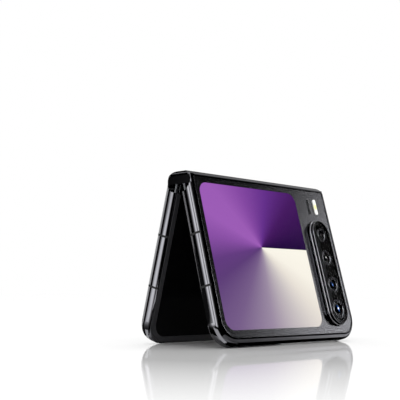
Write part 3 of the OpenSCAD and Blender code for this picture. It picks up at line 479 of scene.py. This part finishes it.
def lit_screen():
    # The lit cover screen: a plain fan of colour turning once round a point, from warm
    # white through mauve and orchid to a dark violet.
    mat = start("lit_screen_image")
    spot = in_cover(mat, *SCREEN_CENTRE)
    parts = add(mat, "SeparateXYZ", None, {0: spot})
    down = add(mat, "Math", {"operation": "MULTIPLY"}, {0: parts.outputs[2], 1: -1.0})
    turn = round_turn(mat, down.outputs[0], parts.outputs[0])
    fan = add(mat, "ValToRGB",
              {"stops": [(0.0, "#fbf7e9"), (0.07, "#f7f2e5"), (0.12, "#e8e1d6"),
                         (0.18, "#c9c1c1"), (0.265, "#9b8ba2"), (0.35, "#775e89"),
                         (0.43, "#5d3d77"), (0.47, "#633c7f"), (0.52, "#884fa3"),
                         (0.57, "#9c5db5"), (0.63, "#9b5cb4"), (0.71, "#8448a1"),
                         (0.81, "#64308a"), (0.89, "#45195f"), (0.99, "#22083c"),
                         (1.0, "#20073a")]},
              {"Fac": turn}).outputs[0]
    shader = add(mat, "BsdfPrincipled", None,
                 {"Base Color": colour("#050506"), "Roughness": 0.3,
                  "Specular IOR Level": 0.0,
                  "Emission Color": fan, "Emission Strength": 1.045})
    return end(mat, shader.outputs[0])


def turned_lens_ring():
    # Aluminium, turned and anodised black: fine lathe rings that catch light as arcs.
    mat = start("turned_black_aluminium")
    mm = millimetres(mat)
    rings = add(mat, "TexNoise", None, {"Vector": mm, "Scale": 6.0, "Detail": 2.0})
    tone = add(mat, "ValToRGB", {"stops": [(0.3, "#17171a"), (0.7, "#212125")]},
               {"Fac": rings.outputs["Fac"]}).outputs[0]
    bump = add(mat, "Bump", None,
               {"Height": rings.outputs["Fac"], "Strength": 0.08, "Distance": 0.03 * MM})
    shader = add(mat, "BsdfPrincipled", None,
                 {"Base Color": tone, "Metallic": 1.0, "Roughness": 0.22,
                  "Normal": bump.outputs["Normal"]})
    return end(mat, shader.outputs[0])


def flash_diffuser():
    # Clear silicone over a phosphor chip: milk white at the ends and straw yellow in the
    # middle, where the phosphor shows. The same colours glow faintly as painted light, though
    # the flash is off.
    mat = start("phosphor_diffuser")
    spot = in_cover(mat, *FLASH)
    squash = add(mat, "Mapping", None, {"Vector": spot, "Scale": (0.5, 0.0, 0.34)})
    ball = add(mat, "TexGradient", {"gradient_type": "SPHERICAL"},
               {"Vector": squash.outputs[0]})
    tone = add(mat, "ValToRGB",
               {"stops": [(0.0, "#fbfbf8"), (0.45, "#f6f6e6"), (0.8, "#dfe08c")]},
               {"Fac": ball.outputs["Fac"]}).outputs[0]
    # Painted light: the diffuser glows faintly in its own colours
    shader = add(mat, "BsdfPrincipled", None,
                 {"Base Color": tone, "Roughness": 0.25, "IOR": 1.41,
                  "Emission Color": tone, "Emission Strength": 0.35})
    return end(mat, shader.outputs[0])


def lens_with_painted_glint(name, x, z, size, glow, painted_glint_core, painted_glint_core_at):
    # Ground glass over a black barrel with an anti-reflection coat: almost black, with a
    # painted glint at one spot, coloured like an inner element's glint, paler at its core and
    # ringed round.
    mat = start(name)
    spot = in_cover(mat, x, z)
    flat = add(mat, "Mapping", None, {"Vector": spot, "Scale": (1 / size, 0, 1 / size)})
    ball = add(mat, "TexGradient", {"gradient_type": "SPHERICAL"}, {"Vector": flat.outputs[0]})
    # Painted glint: rings of colour and a pale core, put in the base colour where a reflection
    # would be
    tone = add(mat, "ValToRGB",
               {"stops": [(0.0, "#020204"), (0.2, "#08090e"), (0.26, glow), (0.34, "#05060a"),
                          (0.5, glow), (painted_glint_core_at - 0.12, glow), (painted_glint_core_at, painted_glint_core)]},
               {"Fac": ball.outputs["Fac"]}).outputs[0]
    shader = add(mat, "BsdfPrincipled", None,
                 {"Base Color": tone, "Metallic": 1.0, "Roughness": 0.08})
    return end(mat, shader.outputs[0])


def acoustic_mesh():
    # Woven stainless mesh, dyed black: a tight grid over the opening, matt at a distance.
    mat = start("woven_black_mesh")
    mm = millimetres(mat)
    weave = add(mat, "TexChecker", None,
                {"Vector": mm, "Scale": 6.0, "Color1": colour("#060607"),
                 "Color2": colour("#1b1b1e")})
    shader = add(mat, "BsdfPrincipled", None,
                 {"Base Color": weave.outputs["Color"], "Roughness": 0.6, "Metallic": 0.5})
    return end(mat, shader.outputs[0])


BASE_BLACK = anodised_aluminium("polished_black_base_aluminium", "#66666a", "#6e6e72", 0.08,
                                BASE)
COVER_BLACK = anodised_aluminium("polished_black_cover_aluminium", "#66666a", "#6e6e72", 0.08,
                                 COVER)
RING_BLACK = anodised_aluminium("polished_black_bezel_aluminium", "#5a5a5e", "#66666a", 0.07)
HOUSING = camera_housing_metal()
SPINE_BLACK = anodised_aluminium("black_spine_aluminium", "#66666a", "#747478", 0.14)
HINGE_STEEL = brushed_steel("brushed_hinge_steel", "#8d9094", 0.3, 0)
PLATE_STEEL = brushed_steel("rolled_plate_steel", "#84878b", 0.36, 0)
PORT_STEEL = brushed_steel("drawn_port_steel", "#9a9da1", 0.22, 2)
CREST_STEEL = brushed_steel("turned_bright_steel", "#85878b", 0.22, 2)
BRASS = machined_brass()
COVER_GLASS = cover_glass("strengthened_cover_glass", 1.06)
CAMERA_GLASS = cover_glass("coated_camera_glass", 1.03)
BACK_GLASS = tinted_back_glass()
INK = metallic_ink()
CAMERA_PRINT = camera_print()
FILM = folding_film()
RIM = soft_rim()
RESIN = moulded_plastic("antenna_break_resin", "#040405", "#070708", 0.8)
BLACK_PLASTIC = moulded_plastic("glass_filled_black_plastic", "#101012", "#1c1c1f", 0.6)
FOIL = battery_foil()
BOARD = circuit_board()
COPPER = copper_winding()
SCREEN = lit_screen()
LENS_METAL = turned_lens_ring()
FLASH_LENS = flash_diffuser()
MESH = acoustic_mesh()

FINISH = {
    "spine_cover": SPINE_BLACK, "spine_end_caps": RING_BLACK,
    "hinge_brackets": HINGE_STEEL, "hinge_shafts": HINGE_STEEL,
    "friction_washers": HINGE_STEEL, "gear_plates": HINGE_STEEL, "sync_pins": HINGE_STEEL,
    "idler_gears_base": BRASS, "idler_gears_cover": BRASS,
    "base_frame": BASE_BLACK, "cover_frame": COVER_BLACK, "sim_tray": BASE_BLACK,
    "volume_key": COVER_BLACK, "power_key": COVER_BLACK,
    "base_bezel_ring": RING_BLACK, "cover_bezel_ring": RING_BLACK,
    "camera_housing": HOUSING,
    "base_back_glass": BACK_GLASS, "cover_glass": COVER_GLASS, "camera_glass": CAMERA_GLASS,
    "cover_ink": INK, "camera_trim": CAMERA_PRINT,
    "base_antenna_breaks": RESIN, "cover_antenna_breaks": RESIN,
    "base_sync_arms": HINGE_STEEL, "cover_sync_arms": HINGE_STEEL,
    "base_torque_arms": HINGE_STEEL, "cover_torque_arms": HINGE_STEEL,
    "base_arm_screws": PORT_STEEL, "cover_arm_screws": PORT_STEEL,
    "base_screen_plate": PLATE_STEEL, "cover_screen_plate": PLATE_STEEL,
    "base_folding_screen": FILM, "cover_folding_screen": FILM,
    "folding_screen_bend": FILM,
    "base_inner_rim": RIM, "cover_inner_rim": RIM,
    "base_battery": FOIL, "cover_battery": FOIL,
    "base_board": BOARD, "main_board": BOARD,
    "usb_port": PORT_STEEL, "vibration_motor": PORT_STEEL,
    "charging_coil": COPPER, "key_switches": COPPER,
    "loudspeaker": BLACK_PLASTIC, "earpiece": BLACK_PLASTIC, "selfie_camera": BLACK_PLASTIC,
    "camera_main": BLACK_PLASTIC, "camera_wide": BLACK_PLASTIC,
    "camera_zoom": BLACK_PLASTIC, "camera_colour_sensor": BLACK_PLASTIC,
    "lens_rings": LENS_METAL, "cover_display": SCREEN, "flash_led": FLASH_LENS,
}
for name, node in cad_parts.items():
    node.data.materials.clear()
    node.data.materials.append(FINISH[name])


# ---------------------------------------------------------------- pieces
def make_object(bm, name, mat):
    """Turns a finished bmesh into an object at the origin, with a material."""
    mesh = bpy.data.meshes.new(name)
    bm.to_mesh(mesh)
    bm.free()
    mesh.materials.append(mat)
    piece = bpy.data.objects.new(name, mesh)
    bpy.context.scene.collection.objects.link(piece)
    return piece


def finish_piece(bm, name, mat, space):
    """Makes an object of a bmesh drawn in millimetres in the space of a half or the spine."""
    bmesh.ops.remove_doubles(bm, verts=bm.verts, dist=0.0005)
    bmesh.ops.transform(bm, matrix=space @ Matrix.Scale(MM, 4), verts=bm.verts)
    bmesh.ops.recalc_face_normals(bm, faces=bm.faces)
    return make_object(bm, name, mat)


def smooth(piece, degrees):
    """Shades a piece smooth, and keeps edges sharper than an angle."""
    piece.data.shade_smooth()
    piece.data.set_sharp_from_angle(angle=math.radians(degrees))
    return piece


def turned(bm, profile, x, z):
    """Spins a closed profile of (radius, depth) points round an axis along the half's Y."""
    verts = [bm.verts.new((x + r, y, z)) for r, y in profile]
    edges = [bm.edges.new(pair) for pair in zip(verts, verts[1:] + verts[:1])]
    bmesh.ops.spin(bm, geom=verts + edges, cent=(x, 0, z), axis=(0, 1, 0),
                   angle=2 * math.pi, steps=72, use_merge=True, use_duplicate=False)


def bend_curve():
    """Middle line of the folding screen's bend, as (Y, Z) in the spine's space: from the
    edge of a half's film up to the middle."""
    foot = Vector((PIVOT_Y + FILM_MID_Y * math.cos(LEAN) - FILM_TOP_Z * math.sin(LEAN),
                   FILM_MID_Y * math.sin(LEAN) + FILM_TOP_Z * math.cos(LEAN)))
    rise = foot + BEND_REACH * Vector((-math.sin(LEAN), math.cos(LEAN)))
    knots = [foot, rise, Vector((BEND_REACH, BEND_TOP)), Vector((0.0, BEND_TOP))]
    points = []
    for i in range(BEND_STEPS + 1):
        t = i / BEND_STEPS
        points.append((1 - t) ** 3 * knots[0] + 3 * (1 - t) ** 2 * t * knots[1]
                      + 3 * (1 - t) * t * t * knots[2] + t ** 3 * knots[3])
    return points


# The folding screen's bend, as one sheet on each side of the spine's middle. Each runs from
# the edge of its half's film at the foot up to the middle at the top, where the two meet.
def bend_sheet(name, side):
    """One side's sheet, from its half's film up to the spine's middle."""
    points = [Vector((0, side * y, z)) for y, z in bend_curve()]
    bm = bmesh.new()
    ends = [bm.verts.new(points[0] + Vector((x, 0, 0))) for x in (-FILM_HALF_W, FILM_HALF_W)]
    edge = bm.edges.new(ends)
    for before, after in zip(points, points[1:]):
        out = bmesh.ops.extrude_edge_only(bm, edges=[edge])["geom"]
        edge = [g for g in out if isinstance(g, bmesh.types.BMEdge)][0]
        bmesh.ops.translate(bm, vec=after - before, verts=edge.verts[:])
    bmesh.ops.recalc_face_normals(bm, faces=bm.faces)
    bmesh.ops.solidify(bm, geom=bm.faces[:], thickness=FILM_T)
    sheet = smooth(finish_piece(bm, name, FILM, SPINE), 40)
    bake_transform(sheet)
    return sheet


base_bend = bend_sheet("fold_sheet_base_side", 1)
cover_bend = bend_sheet("fold_sheet_cover_side", -1)
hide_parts("folding_screen_bend")
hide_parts("folding_screen_bend")

# Front lens elements: a shallow dome of glass in each lens ring. Each has its name, its
# painted glint's place and size, the painted glint's colours, and how far in the glint's pale
# core starts.
DOMES = (("sensor_lens", 0.0, 0.0, 1.2, "#060607", "#5c5c60", 0.86),
         ("zoom_lens", -0.2, 0.35, 1.1, "#242428", "#ffffff", 0.66),
         ("wide_lens", -0.3, 0.3, 1.5, "#0a4f96", "#cfe2f6", 0.86),
         ("main_lens", 0.0, 0.3, 2.1, "#0b62b8", "#f2f7ff", 0.84))
for (name, dx, dz, size, glow, painted_glint_core, painted_glint_core_at), z, ring_r in zip(DOMES, LENS_Z, LENS_R):
    r = DOME_SHARE * ring_r
    rise = DOME_RISE * r
    steps = [k / 8 for k in range(9)]
    arc = [(r * (1 - t), DOME_Y + rise * (1 - (1 - t) ** 2)) for t in steps]
    bm = bmesh.new()
    turned(bm, [(0.0, DOME_Y)] + arc, BUMP_X, z)
    glass = lens_with_painted_glint("coated_" + name, BUMP_X + dx, z + dz, size, glow, painted_glint_core, painted_glint_core_at)
    dome = smooth(finish_piece(bm, name, glass, COVER), 50)
    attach(dome, "cover_half")

# Light baffles: two thin steps inside each lens ring, above the barrel. Each has its outer
# and inner radius as shares of the ring's, its foot and the heights of its two edges.
BAFFLES = ((0.66, 0.5, 6.82, 0.08, 0.04), (0.745, 0.64, 7.1, 0.07, 0.03))
bm = bmesh.new()
for z, ring_r in zip(LENS_Z, LENS_R):
    for outer, inner, foot, outer_t, inner_t in BAFFLES:
        turned(bm, [(outer * ring_r, foot), (outer * ring_r, foot + outer_t),
                    (inner * ring_r, foot + inner_t), (inner * ring_r, foot)], BUMP_X, z)
baffles = smooth(finish_piece(bm, "lens_baffles", LENS_METAL, COVER), 30)
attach(baffles, "cover_half")

# Polished crest inside the mouth of each lens ring
bm = bmesh.new()
for z, ring_r in zip(LENS_Z, LENS_R):
    crest_r = CREST_SHARE * ring_r
    turned(bm, [(crest_r, CREST_Y), (crest_r - CREST_T, CREST_Y + CREST_H),
                (crest_r - 2 * CREST_T, CREST_Y)], BUMP_X, z)
crests = smooth(finish_piece(bm, "lens_crests", CREST_STEEL, COVER), 30)
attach(crests, "cover_half")


def pill_plate(bm, x, z, width, length, y0, y1):
    """A flat pill with its length along Z, between two depths."""
    r = width / 2
    outline = []
    for end_side in (1, -1):
        for k in range(11):
            a = math.pi * k / 10
            outline.append((x + end_side * r * math.cos(a),
                            z + end_side * (length / 2 - r + r * math.sin(a))))
    verts = [bm.verts.new((px, y0, pz)) for px, pz in outline]
    edges = [bm.edges.new(pair) for pair in zip(verts, verts[1:] + verts[:1])]
    face = bmesh.ops.contextual_create(bm, geom=edges)["faces"]
    raised = bmesh.ops.extrude_face_region(bm, geom=face)["geom"]
    bmesh.ops.translate(bm, vec=(0, y1 - y0, 0),
                        verts=[g for g in raised if isinstance(g, bmesh.types.BMVert)])


# Mesh in the microphone's slit beside the flash
bm = bmesh.new()
pill_plate(bm, MIC_X, FLASH[1], width=0.52, length=7.0, y0=GLASS_Y - 0.29, y1=GLASS_Y - 0.1)
mic = finish_piece(bm, "microphone_mesh", MESH, COVER)
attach(mic, "cover_half")

# Gilded contacts on the tongue of the charging port
bm = bmesh.new()
for k in range(CONTACTS):
    for side in (-1, 1):
        strip = bmesh.ops.create_cube(bm, size=1.0)["verts"]
        at = (CONTACT_X + k * CONTACT_STEP, TONGUE_Y + side * TONGUE_HALF, CONTACT_Z)
        bmesh.ops.scale(bm, vec=CONTACT_SIZE, verts=strip)
        bmesh.ops.translate(bm, vec=at, verts=strip)
contacts = finish_piece(bm, "port_contacts", BRASS, BASE)
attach(contacts, "base_half")

# ---------------------------------------------------------------- stage
# The studio round the object, in metres
def stage_card(bm, name, mat):
    """A card, flag or cloth of the studio, which only reflections show."""
    piece = make_object(bm, name, mat)
    piece.visible_camera = False
    piece.visible_diffuse = False
    piece.visible_shadow = False


def card(name, middle, right, up, outline, mat):
    """A flat card cut to an outline in the plane of two directions."""
    bm = bmesh.new()
    bm.faces.new([bm.verts.new(middle + right * u + up * v) for u, v in outline])
    stage_card(bm, name, mat)


def floor_card(name, z, outline, mat):
    """A card that lies flat, a little over the floor."""
    card(name, Vector((0, 0, z)), Vector((1, 0, 0)), Vector((0, 1, 0)), outline, mat)


def swept(name, ends, from_az, to_az, mat):
    """An edge swept round the object between two compass angles counted from +X."""
    bm = bmesh.new()
    verts = [bm.verts.new((x, 0, z)) for x, z in ends]
    edge = bm.edges.new(verts)
    turn = Matrix.Rotation(math.radians(from_az), 4, "Z")
    bmesh.ops.transform(bm, matrix=turn, verts=bm.verts)
    bmesh.ops.spin(bm, geom=verts + [edge], cent=(0, 0, 0), axis=(0, 0, 1),
                   angle=math.radians(to_az - from_az), steps=24, use_duplicate=False)
    stage_card(bm, name, mat)


def one_sided(mat, shader):
    """Shows a shader on the face that looks up, and lets rays from below through."""
    facing = add(mat, "NewGeometry").outputs["Backfacing"]
    clear = add(mat, "BsdfTransparent")
    both = add(mat, "MixShader", None, {0: facing, 1: shader, 2: clear.outputs[0]})
    return end(mat, both.outputs[0])


def black_felt(name, finish):
    # Black felt: it gives back no light, and shapes what polished metal shows.
    mat = start(name)
    return finish(mat, add(mat, "Emission", None, {"Strength": 0.0}).outputs[0])


def around(mat, stops):
    """A grey that changes with the compass angle counted from +X."""
    parts = add(mat, "SeparateXYZ", None, {0: add(mat, "TexCoord").outputs["Object"]})
    share = round_turn(mat, parts.outputs[1], parts.outputs[0])
    stops = [(az / 360, grey) for az, grey in stops]
    return add(mat, "ValToRGB", {"stops": stops}, {"Fac": share}).outputs[0]


def lit_cloth(name, stops):
    # Diffusion cloth with lamps behind it: soft bands of light and dark, side by side.
    mat = start(name)
    glow = add(mat, "Emission", None, {"Color": around(mat, stops), "Strength": 5.0})
    return end(mat, glow.outputs[0])


def lit_floor(name, stops, near, far):
    # Diffusion cloth laid flat, lit from below and dark at its near end.
    mat = start(name)
    reach = add(mat, "VectorMath", {"operation": "LENGTH"},
                {0: add(mat, "TexCoord").outputs["Object"]})
    level = add(mat, "MapRange", {"interpolation_type": "SMOOTHSTEP"},
                {"Value": reach.outputs["Value"], "From Min": near, "From Max": far,
                 "To Min": 0.0, "To Max": 5.0})
    glow = add(mat, "Emission", None,
               {"Color": around(mat, stops), "Strength": level.outputs[0]})
    return one_sided(mat, glow.outputs[0])


def lit_strip():
    # Diffusion cloth in a narrow even strip: a thin clean line of light along the feet.
    mat = start("foot_diffusion_cloth")
    return one_sided(mat, add(mat, "Emission", None, {"Strength": 1.7}).outputs[0])


# The card that the cover's print mirrors, 1 m away: its middle, its two directions and the
# slant that it brightens along, in metres
CARD_AT = Vector((0.7745, -0.5323, 0.377))
CARD_RIGHT = Vector((-0.566, -0.824, 0.0))
CARD_UP = Vector((-0.282, 0.194, 0.94))
CARD_SLANT = -0.743 * CARD_RIGHT - 0.669 * CARD_UP


def graded_card():
    # Diffusion card lit from one end: a fall from pale grey to charcoal along a slant,
    # which the smoked print shows as its sheen.
    mat = start("graded_diffusion_card")
    coords = add(mat, "TexCoord").outputs["Object"]
    from_middle = add(mat, "VectorMath", {"operation": "SUBTRACT"}, {0: coords, 1: CARD_AT})
    along = add(mat, "VectorMath", {"operation": "DOT_PRODUCT"},
                {0: from_middle.outputs[0], 1: CARD_SLANT})
    share = add(mat, "MapRange", None,
                {"Value": along.outputs["Value"], "From Min": -0.18, "From Max": 0.14})
    level = add(mat, "ValToRGB",
                {"stops": [(0.0, "#1c1c1c"), (0.3, "#222222"), (0.4, "#323232"),
                           (0.48, "#4b4b4b"), (0.55, "#5c5c5c"), (0.6, "#7c7c7c"),
                           (0.645, "#9e9e9e"), (0.77, "#c7c7c7"), (0.85, "#dbdbdb"),
                           (1.0, "#e6e6e6")]},
                {"Fac": share.outputs[0]}).outputs[0]
    glow = add(mat, "Emission", None, {"Color": level, "Strength": 2.8})
    return end(mat, glow.outputs[0])


# How far out the floor still mirrors, in metres
MIRROR_REACH = 0.25


def studio_floor():
    # White acrylic sheet, polished where the object stands and dulled further out, so
    # that the mirror image is clear at its foot and fades away from it.
    mat = start("white_acrylic_sheet")
    coords = add(mat, "TexCoord").outputs["Object"]
    reach = add(mat, "VectorMath", {"operation": "LENGTH"}, {0: coords})
    share = add(mat, "Math", {"operation": "DIVIDE"},
                {0: reach.outputs["Value"], 1: MIRROR_REACH})
    fade = add(mat, "ValToRGB",
               {"stops": [(0.0, "#cccccc"), (0.16, "#cccccc"), (0.44, "#c6c6c6"),
                          (0.69, "#989898"), (0.86, "#646464"), (1.0, "#2c2c2c")]},
               {"Fac": share.outputs[0]}).outputs[0]
    white = add(mat, "BsdfDiffuse", None, {"Color": colour("#ffffff")})
    mirror = add(mat, "BsdfGlossy", None, {"Color": colour("#ffffff"), "Roughness": 0.04})
    both = add(mat, "MixShader", None, {0: fade, 1: white.outputs[0], 2: mirror.outputs[0]})
    return one_sided(mat, both.outputs[0])


# The floor, 40 m square, lies a hair under the feet, so that no two faces share a plane
bm = bmesh.new()
bmesh.ops.create_grid(bm, x_segments=1, y_segments=1, size=20)
bmesh.ops.translate(bm, vec=(0, 0, -0.02 * MM), verts=bm.verts)
floor = make_object(bm, "studio_floor", studio_floor())

# Flags and lights round the object. A light's stops are (compass angle, grey).
FELT = black_felt("black_flag_felt", end)
FLOOR_FELT = black_felt("black_floor_felt", one_sided)
SIDE_LIGHT = [(134, "#080808"), (142, "#303030"), (152, "#707070"), (162, "#a8a8a8"),
              (174, "#dcdcdc"), (190, "#dcdcdc"), (198, "#b8b8b8"), (203, "#585858"),
              (208, "#686868"), (213, "#e0e0e0"), (220, "#e0e0e0"), (225, "#808080"),
              (232, "#101010")]
BACK_LIGHT = [(0, "#7c7c7c"), (10, "#707070"), (27, "#3d3d3d"), (50, "#1f1f1f"),
              (327, "#303030"), (345, "#3f3f3f"), (350, "#595959"), (360, "#7c7c7c")]
FLOOR_LIGHT = [(136, "#101010"), (142, "#606060"), (155, "#b0b0b0"), (165, "#d8d8d8"),
               (180, "#b0b0b0"), (190, "#606060"), (198, "#101010")]
swept("flag_front", ((1.5, -0.01), (1.5, 1.4)), 229, 327, FELT)
swept("flag_left", ((1.5, 0.0), (1.5, 1.2)), 104, 137, FELT)
swept("flag_back", ((1.4, 0.38), (1.4, 1.6)), 50, 104, FELT)
swept("light_back", ((1.4, 0.36), (1.4, 1.6)), -33, 50,
      lit_cloth("back_diffusion_cloth", BACK_LIGHT))
swept("light_left", ((1.3, 0.01), (1.3, 0.95)), 134, 232,
      lit_cloth("side_diffusion_cloth", SIDE_LIGHT))
swept("light_floor", ((0.05, 0.0006), (1.6, 0.0006)), 102, 200,
      lit_floor("floor_diffusion_cloth", FLOOR_LIGHT, 0.05, 0.12))
LIT_STRIP = lit_strip()
floor_card("light_cover_foot", 0.0007,
           ((-0.0412, -0.0207), (-0.0437, -0.02), (-0.0535, -0.0159), (-0.0637, -0.009),
            (-0.07, -0.005), (-0.07, -0.041), (-0.0625, -0.036), (-0.0442, -0.0243),
            (-0.0412, -0.0236)), LIT_STRIP)
floor_card("light_base_foot", 0.0007,
           ((-0.041, 0.0255), (-0.0422, 0.0261), (-0.0505, 0.0283), (-0.0505, 0.0207),
            (-0.0431, 0.023), (-0.041, 0.0235)), LIT_STRIP)
floor_card("flag_floor", 0.0004,
           ((-0.0465, 0.02), (-0.056, 0.012), (-0.2, -0.055), (-1.5, -0.45), (-1.5, -1.5),
            (1.5, -1.5), (1.5, -0.036), (-0.0465, -0.036)), FLOOR_FELT)
floor_card("flag_foot", 0.0003,
           ((-0.05, -0.025), (0.05, -0.025), (0.05, -0.0205), (-0.05, -0.0205)), FLOOR_FELT)
card("light_right", CARD_AT, CARD_RIGHT, CARD_UP,
     ((-0.3, -0.269), (0.25, -0.057), (0.25, 0.4), (-0.3, 0.4)), graded_card())

# One softbox over the object: its place, its two widths and how bright it looks
SOFTBOX_AT = Vector((0.25, 0.1, 0.95))
SOFTBOX_X = 0.5
SOFTBOX_Y = 0.25
SOFTBOX_RADIANCE = 3.0
OBJECT_MIDDLE = Vector((0, 0, 0.035))
light = bpy.data.lights.new("softbox_top", "AREA")
light.shape = "RECTANGLE"
light.size = SOFTBOX_X
light.size_y = SOFTBOX_Y
light.energy = SOFTBOX_RADIANCE * math.pi * SOFTBOX_X * SOFTBOX_Y
lamp = bpy.data.objects.new("softbox_top", light)
bpy.context.scene.collection.objects.link(lamp)
lamp.location = SOFTBOX_AT
lamp.rotation_euler = (OBJECT_MIDDLE - SOFTBOX_AT).to_track_quat("-Z", "Y").to_euler()

# An even white room round it all
world = bpy.data.worlds.new("studio")
bpy.context.scene.world = world
world.use_nodes = True
world.node_tree.nodes.clear()
room = add(world, "Background", None, {"Color": colour("#ffffff")})
add(world, "OutputWorld", None, {"Surface": room.outputs[0]})

# The camera: low before the cover half, looking a little up
camera_data = bpy.data.cameras.new("camera")
camera_data.lens = 77.85
camera_data.sensor_width = 36
camera_data.clip_start = 0.01
camera = bpy.data.objects.new("camera", camera_data)
bpy.context.scene.collection.objects.link(camera)
CAMERA_AT = Vector((-0.29275, -0.25404, 0.02147))
forward = Vector((0.710, 0.696, 0.107)).normalized()
right = Vector((0.700, -0.714, 0.003))
right = (right - right.dot(forward) * forward).normalized()
up = right.cross(forward)
turn = Matrix((right, up, -forward)).transposed().to_4x4()
camera.matrix_world = Matrix.Translation(CAMERA_AT) @ turn
bpy.context.scene.camera = camera
bpy.context.scene.view_settings.view_transform = "Standard"
